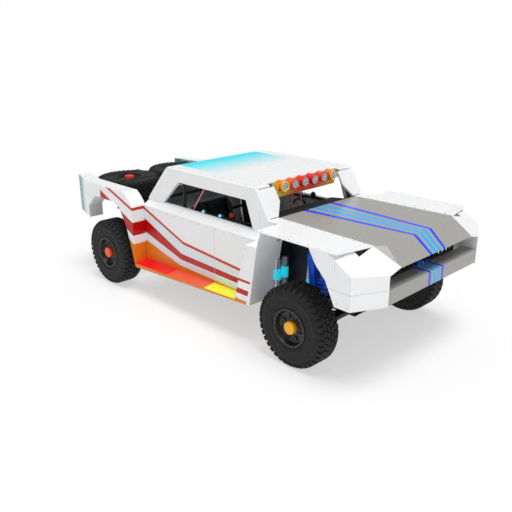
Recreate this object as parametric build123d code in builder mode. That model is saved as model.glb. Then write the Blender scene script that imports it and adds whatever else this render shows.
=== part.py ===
from build123d import *
import os

os.makedirs("parts", exist_ok=True)

# A desert race truck in millimetres: X forward, Y to the left, Z up, the ground at Z = 0.
# Left-hand pieces are modelled and mirrored, so every Y below is a distance from the centre line.

# Running gear
TYRE_R = 470.0
TYRE_W = 306.0
TYRE_FACETS = 24
LUG_HEIGHT = 16.0
LUG_COUNT = 12
LUG_LENGTH = 78.0
LUG_ROW_GAP = 40.0
SHOULDER_CUT = 38.0
RIM_R = 221.0
RIM_WALL = 14.0
RIM_FACETS = 16
RIM_INSET = 8.0
DISH_DEPTH = 70.0
DISC_T = 22.0
CAP_R = 74.0
HUB_R = 78.0
HUB_LENGTH = 90.0
SPINDLE_R = 34.0
BEAD_GAP = 0.3
RUN_GAP = 0.05

FRONT_AXLE_X = 1795.0
FRONT_TYRE_Y = 1230.0
REAR_AXLE_X = -1709.0
REAR_TYRE_Y = 1275.0

# Body planes
NOSE_X = 2791.0
TAIL_X = -2791.0
SKIN_T = 12.0
DECK_Z = 1472.0
HOOD_Z = 1467.0
HOOD_REAR_X = 1147.0
HOOD_REAR_Y = 712.0
HOOD_SIDE_BACK = 294.0
HOOD_SIDE_Y = 770.0
CREASE_BACK = 206.0
CREASE_Y = 665.0
NOSE_Y = 707.0
NOSE_Z = 1294.0
PANEL_GAP = 0.5
FENDER_Y = 1253.0
FENDER_BACK = 475.0
FENDER_REAR_Y = 900.0
PLATE_BACK = 390.0
CORNER_BACK = 186.0
CORNER_Z = 1289.0
CORNER_INNER_Z = 1268.0
CORNER_BOTTOM_Z = 930.0
CORNER_DEPTH_Y = 1000.0
BUMPER_Y = 883.0
BUMPER_DEPTH = 189.0
BUMPER_BOTTOM_Z = 937.0
BUMPER_TOP_Z = 1099.0
BUMPER_EDGE = 8.0

# Cab
SILL_Z = 430.0
FLOOR_T = 10.0
PANEL_Y = 978.0
PANEL_T = 40.0
BELT_Z = 1234.0
SHOULDER_Z = 1296.0
CAB_Y = 888.0
CAB_WALL = 50.0
CAB_REAR_X = -1149.0
ROOF_Z = 1813.0
ROOF_T = 30.0
ROOF_FRONT_X = 940.0
ROOF_REAR_X = -707.0
ROOF_EDGE = 14.0
NOTCH_X = 845.0
NOTCH_Y = 648.0
COWL_Z = 1460.0
BLOCK_Y = 1177.0
BLOCK_INNER_Y = 764.0
BLOCK_TOP_Z = 1240.0
BLOCK_BOTTOM_Z = 508.0
BLOCK_REAR_TOP_BACK = 726.0
BLOCK_REAR_BOTTOM_BACK = 907.0
BLOCK_FRONT_TOP_BACK = 538.0
BLOCK_FRONT_BOTTOM_BACK = 659.0
FIREWALL_X = 1130.0
FIREWALL_T = 10.0

# Bed
BED_TOP_Z = 1410.0
BED_INNER_Y = 950.0
BED_TAIL_X = -2279.0
TAIL_OUTER_Y = 1016.0
TAIL_INNER_Y = 830.0
TAIL_BOTTOM_Z = 862.0

# Frame and cage
RAIL_Y = 380.0
RAIL_W = 60.0
RAIL_H = 90.0
RAIL_FRONT_X = 2060.0
RAIL_REAR_X = -1250.0
TUBE_R = 24.0
BRACE_R = 20.0
TUBE_SIDES = 8
ROUND_SIDES = 16
TUBE_STEP = 3.0
UPPER_RAIL_Y = 560.0
UPPER_RAIL_Z = 1400.0
BED_RAIL_Y = 540.0
BED_RAIL_Z = 1050.0
CAGE_Y = 788.0
CAGE_DROP = 61.0
CAGE_TOP_Z = ROOF_Z - CAGE_DROP

# Derived places
HOOD_SIDE_X = NOSE_X - HOOD_SIDE_BACK
CREASE_X = NOSE_X - CREASE_BACK
PLATE_FRONT_X = NOSE_X - PLATE_BACK
CORNER_X = NOSE_X - CORNER_BACK
BUMPER_BACK_X = NOSE_X - BUMPER_DEPTH
FENDER_REAR_X = FRONT_AXLE_X - FENDER_BACK
BLOCK_REAR_TOP_X = FRONT_AXLE_X - BLOCK_REAR_TOP_BACK
BLOCK_REAR_BOTTOM_X = FRONT_AXLE_X - BLOCK_REAR_BOTTOM_BACK
BLOCK_FRONT_TOP_X = FRONT_AXLE_X - BLOCK_FRONT_TOP_BACK
BLOCK_FRONT_BOTTOM_X = FRONT_AXLE_X - BLOCK_FRONT_BOTTOM_BACK
FLOOR_Z = SILL_Z + FLOOR_T
RAIL_TOP_Z = FLOOR_Z + RAIL_H
RAIL_MID_Z = FLOOR_Z + RAIL_H / 2
RAIL_OUTER_Y = RAIL_Y + RAIL_W / 2
PANEL_INNER_Y = PANEL_Y - PANEL_T
CAB_INNER_Y = CAB_Y - CAB_WALL
ROOF_UNDER_Z = ROOF_Z - ROOF_T
DECK_UNDER_Z = DECK_Z - SKIN_T
FIREWALL_FRONT_X = FIREWALL_X + FIREWALL_T
BLOCK_REAR_LEAN = (BLOCK_REAR_TOP_X - BLOCK_REAR_BOTTOM_X) / (BLOCK_TOP_Z - BLOCK_BOTTOM_Z)


def block_rear_x(z):
    """Rear face of the block behind the front wheel, which leans forward, at height z."""
    return BLOCK_REAR_BOTTOM_X + (z - BLOCK_BOTTOM_Z) * BLOCK_REAR_LEAN


def side_plane(y):
    """Plane at distance y left of the centre line: sketch X is forward, sketch Y is up, extrusion goes inward."""
    return Plane.XZ.offset(-y)


def save(piece, name):
    piece.label = name
    export_step(piece, f"parts/{name}.step")


def save_pair(left, name):
    save(left, f"{name}_left")
    save(mirror(left, about=Plane.XZ), f"{name}_right")


# Hood: a flat skin that breaks down to the nose, with a facet cut at each front corner
hood_facet = Plane(
    origin=(HOOD_SIDE_X, HOOD_SIDE_Y, HOOD_Z),
    x_dir=(CREASE_X - HOOD_SIDE_X, CREASE_Y - HOOD_SIDE_Y, 0),
    z_dir=Vector(NOSE_X - HOOD_SIDE_X, NOSE_Y - HOOD_SIDE_Y, NOSE_Z - HOOD_Z).cross(
        Vector(HOOD_SIDE_X - CREASE_X, HOOD_SIDE_Y - CREASE_Y, 0)
    ),
)
with BuildPart() as hood_block:
    with BuildSketch(side_plane(HOOD_SIDE_Y)):
        Polygon(
            (HOOD_REAR_X, NOSE_Z),
            (HOOD_REAR_X, HOOD_Z),
            (CREASE_X, HOOD_Z),
            (NOSE_X, NOSE_Z),
            align=None,
        )
    extrude(amount=2 * HOOD_SIDE_Y)
    with BuildSketch(Plane.XY.offset(NOSE_Z)):
        Polygon(
            (HOOD_REAR_X, HOOD_REAR_Y),
            (HOOD_SIDE_X, HOOD_SIDE_Y),
            (NOSE_X, NOSE_Y),
            (NOSE_X, 0),
            (HOOD_REAR_X, 0),
            align=None,
        )
    extrude(amount=HOOD_Z - NOSE_Z, mode=Mode.INTERSECT)
    split(bisect_by=hood_facet, keep=Keep.BOTTOM)
    mirror(about=Plane.XZ)
with BuildPart() as hood:
    add(hood_block.part)
    with Locations((0, 0, -SKIN_T)):
        add(hood_block.part, mode=Mode.SUBTRACT)
save(hood.part, "hood")

# Front bumper: a box across the nose between the two corner blocks
with BuildPart() as bumper:
    with BuildSketch(side_plane(BUMPER_Y - PANEL_GAP)):
        with Locations(((BUMPER_BACK_X + NOSE_X) / 2, (BUMPER_BOTTOM_Z + BUMPER_TOP_Z) / 2)):
            Rectangle(NOSE_X - BUMPER_BACK_X, BUMPER_TOP_Z - BUMPER_BOTTOM_Z)
    extrude(amount=2 * (BUMPER_Y - PANEL_GAP))
    chamfer(bumper.edges().filter_by(Axis.Y).sort_by(Axis.X)[-2:], BUMPER_EDGE)
save(bumper.part, "front_bumper")

# Grille: upright slats in the slot between bumper and hood
GRILLE_Y = 690.0
GRILLE_T = 20.0
GRILLE_BOTTOM_Z = 1000.0
GRILLE_TOP_Z = 1390.0
SLOT_COUNT = 16
SLOT_W = 52.0
GRILLE_BORDER = 26.0
SLOT_PITCH = (2 * GRILLE_Y - 2 * GRILLE_BORDER) / SLOT_COUNT
with BuildPart() as grille:
    grille_plane = Plane.YZ.offset(BUMPER_BACK_X - GRILLE_T)
    with BuildSketch(grille_plane):
        with Locations((0, (GRILLE_BOTTOM_Z + GRILLE_TOP_Z) / 2)):
            Rectangle(2 * GRILLE_Y, GRILLE_TOP_Z - GRILLE_BOTTOM_Z)
        with Locations((0, (BUMPER_TOP_Z + GRILLE_TOP_Z) / 2)):
            with GridLocations(SLOT_PITCH, 1, SLOT_COUNT, 1):
                slot_h = GRILLE_TOP_Z - BUMPER_TOP_Z - 2 * GRILLE_BORDER
                Rectangle(SLOT_W, slot_h, mode=Mode.SUBTRACT)
    extrude(amount=GRILLE_T)
save(grille.part, "grille")

# Fender: deck plate over the wheel, closed rear wall, and the faceted corner block with the wheel arch
slope_plane = Plane(
    origin=(HOOD_SIDE_X, HOOD_SIDE_Y, HOOD_Z),
    x_dir=(CORNER_X - HOOD_SIDE_X, FENDER_Y - HOOD_SIDE_Y, CORNER_Z - HOOD_Z),
    z_dir=Vector(NOSE_X - HOOD_SIDE_X, BUMPER_Y - HOOD_SIDE_Y, CORNER_INNER_Z - HOOD_Z).cross(
        Vector(CORNER_X - HOOD_SIDE_X, FENDER_Y - HOOD_SIDE_Y, CORNER_Z - HOOD_Z)
    ),
)
ARCH_EDGE = [
    (FRONT_AXLE_X + ahead, height)
    for ahead, height in ((270.0, DECK_UNDER_Z), (360.0, 1310.0), (493.0, 1177.0), (617.0, CORNER_BOTTOM_Z))
]
with BuildPart() as corner_skin:
    with BuildSketch(Plane.XY.offset(BUMPER_TOP_Z)):
        Polygon(
            (HOOD_SIDE_X, HOOD_SIDE_Y + PANEL_GAP),
            (NOSE_X, NOSE_Y + PANEL_GAP),
            (NOSE_X, BUMPER_Y),
            (CORNER_X, FENDER_Y),
            (HOOD_SIDE_X, CORNER_DEPTH_Y),
            align=None,
        )
    extrude(amount=DECK_Z - BUMPER_TOP_Z)
    split(bisect_by=slope_plane, keep=Keep.BOTTOM)
    split(bisect_by=slope_plane.offset(-SKIN_T), keep=Keep.TOP)
with BuildPart() as fender:
    with BuildSketch(Plane.XY.offset(CORNER_BOTTOM_Z)):
        Polygon(
            (ARCH_EDGE[0][0], FENDER_Y),
            (CORNER_X, FENDER_Y),
            (NOSE_X, BUMPER_Y),
            (BUMPER_BACK_X, BUMPER_Y),
            (HOOD_SIDE_X, CORNER_DEPTH_Y),
            (ARCH_EDGE[0][0], CORNER_DEPTH_Y),
            align=None,
        )
    extrude(amount=DECK_UNDER_Z - CORNER_BOTTOM_Z)
    split(bisect_by=slope_plane, keep=Keep.BOTTOM)
    with BuildSketch(side_plane(FENDER_Y)):
        Polygon(*ARCH_EDGE, (ARCH_EDGE[0][0], CORNER_BOTTOM_Z), align=None)
    extrude(amount=FENDER_Y - CORNER_DEPTH_Y, mode=Mode.SUBTRACT)
    add(corner_skin.part)
    with BuildSketch(Plane.XY.offset(DECK_UNDER_Z)):
        Polygon(
            (HOOD_REAR_X, HOOD_REAR_Y + PANEL_GAP),
            (HOOD_REAR_X, FENDER_REAR_Y),
            (FENDER_REAR_X, FENDER_REAR_Y),
            (FENDER_REAR_X, FENDER_Y),
            (PLATE_FRONT_X, FENDER_Y),
            (HOOD_SIDE_X + SKIN_T, HOOD_SIDE_Y + PANEL_GAP),
            (HOOD_SIDE_X, HOOD_SIDE_Y + PANEL_GAP),
            align=None,
        )
    extrude(amount=SKIN_T)
    with BuildSketch(side_plane(BLOCK_Y)):
        Polygon(
            (FENDER_REAR_X + SKIN_T, DECK_UNDER_Z),
            (BLOCK_FRONT_TOP_X, BLOCK_TOP_Z),
            (BLOCK_FRONT_TOP_X - SKIN_T, BLOCK_TOP_Z),
            (FENDER_REAR_X, DECK_UNDER_Z),
            align=None,
        )
    extrude(amount=BLOCK_Y - FENDER_REAR_Y)
save_pair(fender.part, "fender")

# Side panel: the long recessed flank under the window, folded in at the shoulder
with BuildPart() as side_panel:
    with BuildSketch(Plane.YZ.offset(CAB_REAR_X)):
        Polygon(
            (PANEL_INNER_Y, SILL_Z),
            (PANEL_Y, SILL_Z),
            (PANEL_Y, BELT_Z),
            (CAB_Y, SHOULDER_Z),
            (CAB_INNER_Y, SHOULDER_Z),
            (PANEL_INNER_Y, BELT_Z - PANEL_T / 2),
            align=None,
        )
    extrude(amount=NOSE_X - CAB_REAR_X)
    with BuildSketch(side_plane(PANEL_Y)):
        Polygon(
            (CAB_REAR_X, SILL_Z),
            (block_rear_x(SILL_Z), SILL_Z),
            (block_rear_x(SHOULDER_Z), SHOULDER_Z),
            (CAB_REAR_X, SHOULDER_Z),
            align=None,
        )
    extrude(amount=PANEL_Y - CAB_INNER_Y, mode=Mode.INTERSECT)
save_pair(side_panel.part, "side_panel")

# Rocker: the sloping sill ledge and the block that closes the front wheel well
LEDGE_BOTTOM_Z = 374.0
LEDGE_INNER_Z = 464.0
LEDGE_OUTER_Z = 427.0
LEDGE_FRONT_Z = 520.0
with BuildPart() as rocker:
    for ledge_y, ledge_z in ((PANEL_Y, LEDGE_INNER_Z), (BLOCK_Y, LEDGE_OUTER_Z)):
        with BuildSketch(side_plane(ledge_y)):
            Polygon(
                (CAB_REAR_X, ledge_z),
                (BLOCK_REAR_BOTTOM_X, LEDGE_FRONT_Z),
                (BLOCK_FRONT_BOTTOM_X, BLOCK_BOTTOM_Z),
                (CAB_REAR_X, LEDGE_BOTTOM_Z),
                align=None,
            )
    loft(ruled=True)
    with BuildSketch(side_plane(BLOCK_Y)):
        Polygon(
            (BLOCK_REAR_BOTTOM_X, BLOCK_BOTTOM_Z),
            (BLOCK_REAR_TOP_X, BLOCK_TOP_Z),
            (BLOCK_FRONT_TOP_X, BLOCK_TOP_Z),
            (BLOCK_FRONT_BOTTOM_X, BLOCK_BOTTOM_Z),
            align=None,
        )
    extrude(amount=BLOCK_Y - BLOCK_INNER_Y)
save_pair(rocker.part, "rocker")

# Cab side: pillars and roof rail round the open window, and half of the windscreen frame
WINDOW_SILL_Z = 1312.0
WINDOW_DROP = 173.0
WINDOW_HEAD_Z = ROOF_Z - WINDOW_DROP
WINDOW = (
    (905.0, WINDOW_SILL_Z),
    (-817.0, WINDOW_SILL_Z),
    (-478.0, WINDOW_HEAD_Z),
    (785.0, WINDOW_HEAD_Z),
)
PILLAR_REAR_X = -1149.0
PILLAR_REAR_Z = 1327.0
COWL_FRONT_X = 1250.0
SCREEN_T = 30.0
SCREEN_FOOT_SHARE = 0.05
SCREEN_FOOT_Y = 700.0
SCREEN_HEAD_SHARE = 0.51
SCREEN_HEAD_Y = 588.0
screen_run = Vector(ROOF_FRONT_X + ROOF_T / 2 - HOOD_REAR_X, 0, ROOF_UNDER_Z - COWL_Z)
screen_plane = Plane(
    origin=(HOOD_REAR_X, 0, COWL_Z), x_dir=(0, 1, 0), z_dir=screen_run.cross(Vector(0, -1, 0))
)
with BuildPart() as cab_side:
    with BuildSketch(side_plane(CAB_Y)):
        Polygon(
            (CAB_REAR_X, SHOULDER_Z),
            (block_rear_x(SHOULDER_Z), SHOULDER_Z),
            (block_rear_x(BLOCK_TOP_Z), BLOCK_TOP_Z),
            (COWL_FRONT_X, BLOCK_TOP_Z),
            (COWL_FRONT_X, COWL_Z),
            (HOOD_REAR_X, COWL_Z),
            (ROOF_FRONT_X + ROOF_T / 2, ROOF_UNDER_Z),
            (ROOF_REAR_X - ROOF_T, ROOF_UNDER_Z),
            (PILLAR_REAR_X, PILLAR_REAR_Z),
            align=None,
        )
        Polygon(*WINDOW, align=None, mode=Mode.SUBTRACT)
    extrude(amount=CAB_WALL)
    with BuildSketch(screen_plane):
        Polygon(
            (CAB_Y - CAB_WALL / 2, SCREEN_FOOT_SHARE * screen_run.length),
            (SCREEN_FOOT_Y, SCREEN_FOOT_SHARE * screen_run.length),
            (SCREEN_HEAD_Y, SCREEN_HEAD_SHARE * screen_run.length),
            (SCREEN_HEAD_Y, screen_run.length),
            (CAB_Y - CAB_WALL / 2, screen_run.length),
            align=None,
        )
    extrude(amount=-SCREEN_T)
save_pair(cab_side.part, "cab_side")

# Roof: one plate with a notch at the front for the lamps
with BuildPart() as roof:
    with BuildSketch(Plane.XY.offset(ROOF_UNDER_Z)):
        with Locations(((ROOF_FRONT_X + ROOF_REAR_X) / 2, 0)):
            Rectangle(ROOF_FRONT_X - ROOF_REAR_X, 2 * CAB_Y)
        with Locations((ROOF_FRONT_X, 0)):
            Rectangle(2 * (ROOF_FRONT_X - NOTCH_X), 2 * NOTCH_Y, mode=Mode.SUBTRACT)
    extrude(amount=ROOF_T)
    chamfer(roof.faces().sort_by(Axis.Z)[-1].outer_wire().edges(), ROOF_EDGE)
save(roof.part, "roof")

# Firewall between engine bay and cab
with BuildPart() as firewall:
    with BuildSketch(Plane.YZ.offset(FIREWALL_X)):
        with Locations((0, (RAIL_TOP_Z + HOOD_Z - SKIN_T) / 2)):
            Rectangle(2 * BLOCK_INNER_Y, HOOD_Z - SKIN_T - RAIL_TOP_Z)
    extrude(amount=FIREWALL_T)
save(firewall.part, "firewall")

# Cab back: upright bulkhead and the raked panel behind the seats, with its rear window
BACK_T = 10.0
REAR_WINDOW_W = 1180.0
REAR_WINDOW_H = 330.0
with BuildPart() as cab_back:
    with BuildSketch(side_plane(CAB_INNER_Y)):
        Polygon(
            (CAB_REAR_X, RAIL_TOP_Z),
            (CAB_REAR_X, PILLAR_REAR_Z),
            (ROOF_REAR_X - ROOF_T, ROOF_UNDER_Z),
            (ROOF_REAR_X - ROOF_T + BACK_T, ROOF_UNDER_Z),
            (CAB_REAR_X + BACK_T, PILLAR_REAR_Z - BACK_T / 2),
            (CAB_REAR_X + BACK_T, RAIL_TOP_Z),
            align=None,
        )
    extrude(amount=2 * CAB_INNER_Y)
    back_mid = Vector((CAB_REAR_X + ROOF_REAR_X) / 2, 0, (PILLAR_REAR_Z + ROOF_UNDER_Z) / 2)
    with BuildSketch(Plane(origin=back_mid, x_dir=(0, 1, 0), z_dir=(-1, 0, 1))):
        Rectangle(REAR_WINDOW_W, REAR_WINDOW_H)
    extrude(amount=6 * BACK_T, both=True, mode=Mode.SUBTRACT)
save(cab_back.part, "cab_back")

# Floor pan with the front skid plate and the trailing arm brackets under it
FLOOR_Y = PANEL_INNER_Y
FLOOR_REAR_X = CAB_REAR_X
SKID_Y = RAIL_OUTER_Y
SKID_RISE_X = 2600.0
ARM_Y = 540.0
ARM_W = 80.0
ARM_PIVOT_X = -864.0
ARM_PIVOT_Z = 338.0
ARM_PIN_R = 26.0
BRACKET_T = 20.0
BRACKET_L = 110.0
with BuildPart() as floor_pan:
    with BuildSketch(Plane.XY.offset(SILL_Z)):
        with Locations(((FLOOR_REAR_X + FIREWALL_X) / 2, 0)):
            Rectangle(FIREWALL_X - FLOOR_REAR_X, 2 * FLOOR_Y)
        for block_side in (1, -1):
            with Locations((FIREWALL_X, block_side * FLOOR_Y)):
                notch = 2 * (FIREWALL_X - block_rear_x(SILL_Z))
                Rectangle(notch, 2 * (FLOOR_Y - BLOCK_INNER_Y), mode=Mode.SUBTRACT)
    extrude(amount=FLOOR_T)
    with BuildSketch(side_plane(SKID_Y)):
        Polygon(
            (FIREWALL_X, SILL_Z),
            (RAIL_FRONT_X + FLOOR_T / 2, SILL_Z),
            (SKID_RISE_X, BUMPER_BOTTOM_Z),
            (SKID_RISE_X - FLOOR_T, BUMPER_BOTTOM_Z),
            (RAIL_FRONT_X, FLOOR_Z),
            (FIREWALL_X, FLOOR_Z),
            align=None,
        )
    extrude(amount=2 * SKID_Y)
    for bracket_y in (ARM_Y - ARM_W / 2 - BRACKET_T, -(ARM_Y - ARM_W / 2)):
        with BuildSketch(Plane.XZ.offset(-bracket_y - BRACKET_T)):
            Polygon(
                (ARM_PIVOT_X - BRACKET_L, SILL_Z),
                (ARM_PIVOT_X + BRACKET_L, SILL_Z),
                (ARM_PIVOT_X + ARM_PIN_R, ARM_PIVOT_Z - ARM_PIN_R),
                (ARM_PIVOT_X - ARM_PIN_R, ARM_PIVOT_Z - ARM_PIN_R),
                align=None,
            )
        extrude(amount=BRACKET_T)
save(floor_pan.part, "floor_pan")

# Bedside: boxed rear quarter over the wheel, with the step behind the cab and the raked tail
BED_BOTTOM_Z = 374.0
STEP_TOP_Z = 1228.0
SHOULDER_END_X = -1331.0
SHOULDER_MID = (-1262.0, 1362.0)
TAIL_NOTCH_Z = 1045.0
BED_ARCH = ((-2079.0, 1224.0), (-1627.0, 1233.0), (-1460.0, 1164.0), (-1316.0, 934.0), (-1185.0, 497.0))
with BuildPart() as bedside:
    with BuildSketch(side_plane(BLOCK_Y)):
        with BuildLine():
            Line((CAB_REAR_X, BED_BOTTOM_Z), (CAB_REAR_X, STEP_TOP_Z))
            ThreePointArc((CAB_REAR_X, STEP_TOP_Z), SHOULDER_MID, (SHOULDER_END_X, BED_TOP_Z))
            Polyline(
                (SHOULDER_END_X, BED_TOP_Z),
                (TAIL_X, BED_TOP_Z),
                (TAIL_X, TAIL_BOTTOM_Z),
                (BED_TAIL_X, TAIL_BOTTOM_Z),
                (BED_TAIL_X, TAIL_NOTCH_Z),
                *BED_ARCH,
                (CAB_REAR_X, BED_BOTTOM_Z),
            )
        make_face()
    extrude(amount=BLOCK_Y - TAIL_INNER_Y)
    with BuildSketch():
        Polygon(
            (CAB_REAR_X, BED_INNER_Y),
            (CAB_REAR_X, BLOCK_Y),
            (BED_TAIL_X, BLOCK_Y),
            (TAIL_X, TAIL_OUTER_Y),
            (TAIL_X, TAIL_INNER_Y),
            (BED_TAIL_X, BED_INNER_Y),
            align=None,
        )
    extrude(amount=BED_TOP_Z, mode=Mode.INTERSECT)
save_pair(bedside.part, "bedside")

# Frame: box rails under the floor, and above them the nose frame and the frame that carries the bed
BED_CROSS_X = -1850.0
TAIL_CROSS_X = -2690.0
STRUT_X = 2490.0
DIAGONAL_X = -1960.0
tail_slope = (BED_INNER_Y - TAIL_INNER_Y) / (BED_TAIL_X - TAIL_X)
TAIL_CROSS_Y = TAIL_INNER_Y + (TAIL_CROSS_X - TUBE_R - TAIL_X) * tail_slope
UPRIGHT_X = RAIL_REAR_X + RAIL_W
NOSE_TUBE_X = BUMPER_BACK_X - GRILLE_T - TUBE_R - TUBE_STEP
NOSE_TUBE_Z = (BUMPER_BOTTOM_Z + BUMPER_TOP_Z) / 2
FRAME_TUBES = (
    # radius, start, end of each tube on the left
    (TUBE_R, (RAIL_FRONT_X - RAIL_H, RAIL_Y, RAIL_MID_Z + TUBE_R), (NOSE_TUBE_X, RAIL_Y, NOSE_TUBE_Z)),
    (BRACE_R, (NOSE_TUBE_X, RAIL_Y, NOSE_TUBE_Z), (STRUT_X, UPPER_RAIL_Y, UPPER_RAIL_Z)),
    (TUBE_R, (FIREWALL_FRONT_X, UPPER_RAIL_Y, UPPER_RAIL_Z), (STRUT_X + TUBE_R, UPPER_RAIL_Y, UPPER_RAIL_Z)),
    (BRACE_R, (UPRIGHT_X, RAIL_Y, RAIL_MID_Z), (UPRIGHT_X, BED_RAIL_Y, BED_RAIL_Z)),
    (BRACE_R, (UPRIGHT_X, RAIL_Y, RAIL_MID_Z), (DIAGONAL_X, BED_RAIL_Y, BED_RAIL_Z)),
    (TUBE_R, (CAB_REAR_X, BED_RAIL_Y, BED_RAIL_Z), (TAIL_CROSS_X - TUBE_R, BED_RAIL_Y, BED_RAIL_Z)),
)
CROSS_TUBES = (
    # radius, half length, x, z
    (BRACE_R, BED_RAIL_Y, UPRIGHT_X, BED_RAIL_Z),
    (BRACE_R, BED_INNER_Y, BED_CROSS_X, BED_RAIL_Z),
    (BRACE_R, TAIL_CROSS_Y, TAIL_CROSS_X, BED_RAIL_Z),
    (TUBE_R + TUBE_STEP, RAIL_Y + TUBE_R + TUBE_STEP, NOSE_TUBE_X, NOSE_TUBE_Z),
)
RAIL_CROSS_X = (UPRIGHT_X, -500.0, 1040.0)
TOW_R = 36.0
TOW_X = TAIL_X + TOW_R
TOW_BORE_R = 16.0
TOW_T = 20.0
with BuildPart() as frame:
    with BuildSketch(Plane.XY.offset(FLOOR_Z)):
        for rail_side in (1, -1):
            with Locations(((RAIL_FRONT_X + RAIL_REAR_X) / 2, rail_side * RAIL_Y)):
                Rectangle(RAIL_FRONT_X - RAIL_REAR_X, RAIL_W)
        for cross_x in RAIL_CROSS_X:
            with Locations((cross_x, 0)):
                Rectangle(RAIL_W, 2 * RAIL_Y)
    extrude(amount=RAIL_H)
    for radius, start, end in FRAME_TUBES:
        for tube_side in (1, -1):
            foot = Vector(start[0], tube_side * start[1], start[2])
            run = Vector(end[0], tube_side * end[1], end[2]) - foot
            with BuildSketch(Plane(origin=foot, z_dir=run)):
                RegularPolygon(radius, TUBE_SIDES)
            extrude(amount=run.length)
    for radius, half_length, cross_x, cross_z in CROSS_TUBES:
        with BuildSketch(side_plane(half_length)):
            with Locations((cross_x, cross_z)):
                RegularPolygon(radius, TUBE_SIDES)
        extrude(amount=2 * half_length)
    with BuildSketch(Plane.XY.offset(BED_RAIL_Z - TOW_T / 2)):
        with Locations(((TOW_X + TAIL_CROSS_X) / 2, 0)):
            Rectangle(TAIL_CROSS_X - TOW_X, 2 * TOW_R)
        with Locations((TOW_X, 0)):
            RegularPolygon(TOW_R, ROUND_SIDES)
            Circle(TOW_BORE_R, mode=Mode.SUBTRACT)
    extrude(amount=TOW_T)
rail_top = Plane.XY.offset(RAIL_TOP_Z)
save(split(frame.part, bisect_by=rail_top, keep=Keep.BOTTOM), "frame_rails")
tube_frames = split(frame.part, bisect_by=rail_top, keep=Keep.TOP).solids().sort_by(Axis.X)
for frame_name, tube_frame in (("nose_frame", tube_frames[-1]), ("bed_frame", tube_frames[0])):
    with BuildPart() as tube_node:
        add(tube_frame)
    save(tube_node.part, frame_name)

# Roll cage inside the cab
HOOP_X = -480.0
CAGE_GAP = 42.0
CAGE_ELBOW_Z = 1300.0
CAGE_REAR_X = -640.0
CAGE_FRONT_X = 880.0
STAY_FOOT_X = -1090.0
STAY_FOOT_Z = 1290.0
CAGE_CROSS_X = 740.0
HARNESS_Z = 1120.0
LEG_R = BRACE_R + TUBE_STEP / 2
elbow = (block_rear_x(CAGE_ELBOW_Z) - CAGE_GAP, CAGE_Y, CAGE_ELBOW_Z)
CAGE_TUBES = (
    # radius, start, end of each tube on the left
    (BRACE_R, (block_rear_x(FLOOR_Z) - CAGE_GAP, CAGE_Y, FLOOR_Z + BRACE_R / 4), elbow),
    (LEG_R, elbow, (CAGE_FRONT_X, CAGE_Y, CAGE_TOP_Z)),
    (TUBE_R, (CAGE_FRONT_X + TUBE_R, CAGE_Y, CAGE_TOP_Z), (CAGE_REAR_X - TUBE_R, CAGE_Y, CAGE_TOP_Z)),
    (LEG_R, (HOOP_X, CAGE_Y, FLOOR_Z), (HOOP_X, CAGE_Y, CAGE_TOP_Z)),
    (LEG_R, (CAGE_REAR_X, CAGE_Y, CAGE_TOP_Z), (STAY_FOOT_X, CAGE_Y, STAY_FOOT_Z)),
)
CAGE_CROSS = (
    # x, z
    (CAGE_CROSS_X, CAGE_TOP_Z),
    (HOOP_X, CAGE_TOP_Z),
    (HOOP_X, HARNESS_Z),
    (STAY_FOOT_X, STAY_FOOT_Z),
)
with BuildPart() as roll_cage:
    for radius, start, end in CAGE_TUBES:
        for tube_side in (1, -1):
            foot = Vector(start[0], tube_side * start[1], start[2])
            run = Vector(end[0], tube_side * end[1], end[2]) - foot
            with BuildSketch(Plane(origin=foot, z_dir=run)):
                RegularPolygon(radius, TUBE_SIDES)
            extrude(amount=run.length)
    for cross_x, cross_z in CAGE_CROSS:
        with BuildSketch(side_plane(CAGE_Y)):
            with Locations((cross_x, cross_z)):
                RegularPolygon(BRACE_R, TUBE_SIDES)
        extrude(amount=2 * CAGE_Y)
save(roll_cage.part, "roll_cage")

# Engine and gearbox as one plain block on the skid plate
ENGINE_FRONT_X = 1960.0
ENGINE_Y = 300.0
ENGINE_TOP_Z = 1180.0
ENGINE_EDGE = 40.0
with BuildPart() as engine:
    with BuildSketch(side_plane(ENGINE_Y)):
        Polygon(
            (FIREWALL_FRONT_X + ENGINE_EDGE, FLOOR_Z),
            (ENGINE_FRONT_X, FLOOR_Z),
            (ENGINE_FRONT_X, ENGINE_TOP_Z),
            (FIREWALL_FRONT_X + ENGINE_EDGE, ENGINE_TOP_Z),
            align=None,
        )
    extrude(amount=2 * ENGINE_Y)
    chamfer(engine.edges().filter_by(Axis.X).group_by(Axis.Z)[-1], ENGINE_EDGE)
save(engine.part, "engine")

# Bay panels: upright sheets between engine bay and front wheel wells
BAY_Y = 510.0
BAY_T = 10.0
BAY_FRONT_X = 2440.0
BAY_BOTTOM_Z = 560.0
with BuildPart() as bay_panels:
    with BuildSketch(side_plane(BAY_Y)):
        Polygon(
            (FIREWALL_FRONT_X, BAY_BOTTOM_Z),
            (RAIL_FRONT_X, BAY_BOTTOM_Z),
            (BAY_FRONT_X, BUMPER_BOTTOM_Z),
            (BAY_FRONT_X, HOOD_Z - SKIN_T),
            (FIREWALL_FRONT_X, HOOD_Z - SKIN_T),
            align=None,
        )
    extrude(amount=BAY_T)
    mirror(about=Plane.XZ)
save(bay_panels.part, "bay_panels")

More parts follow.
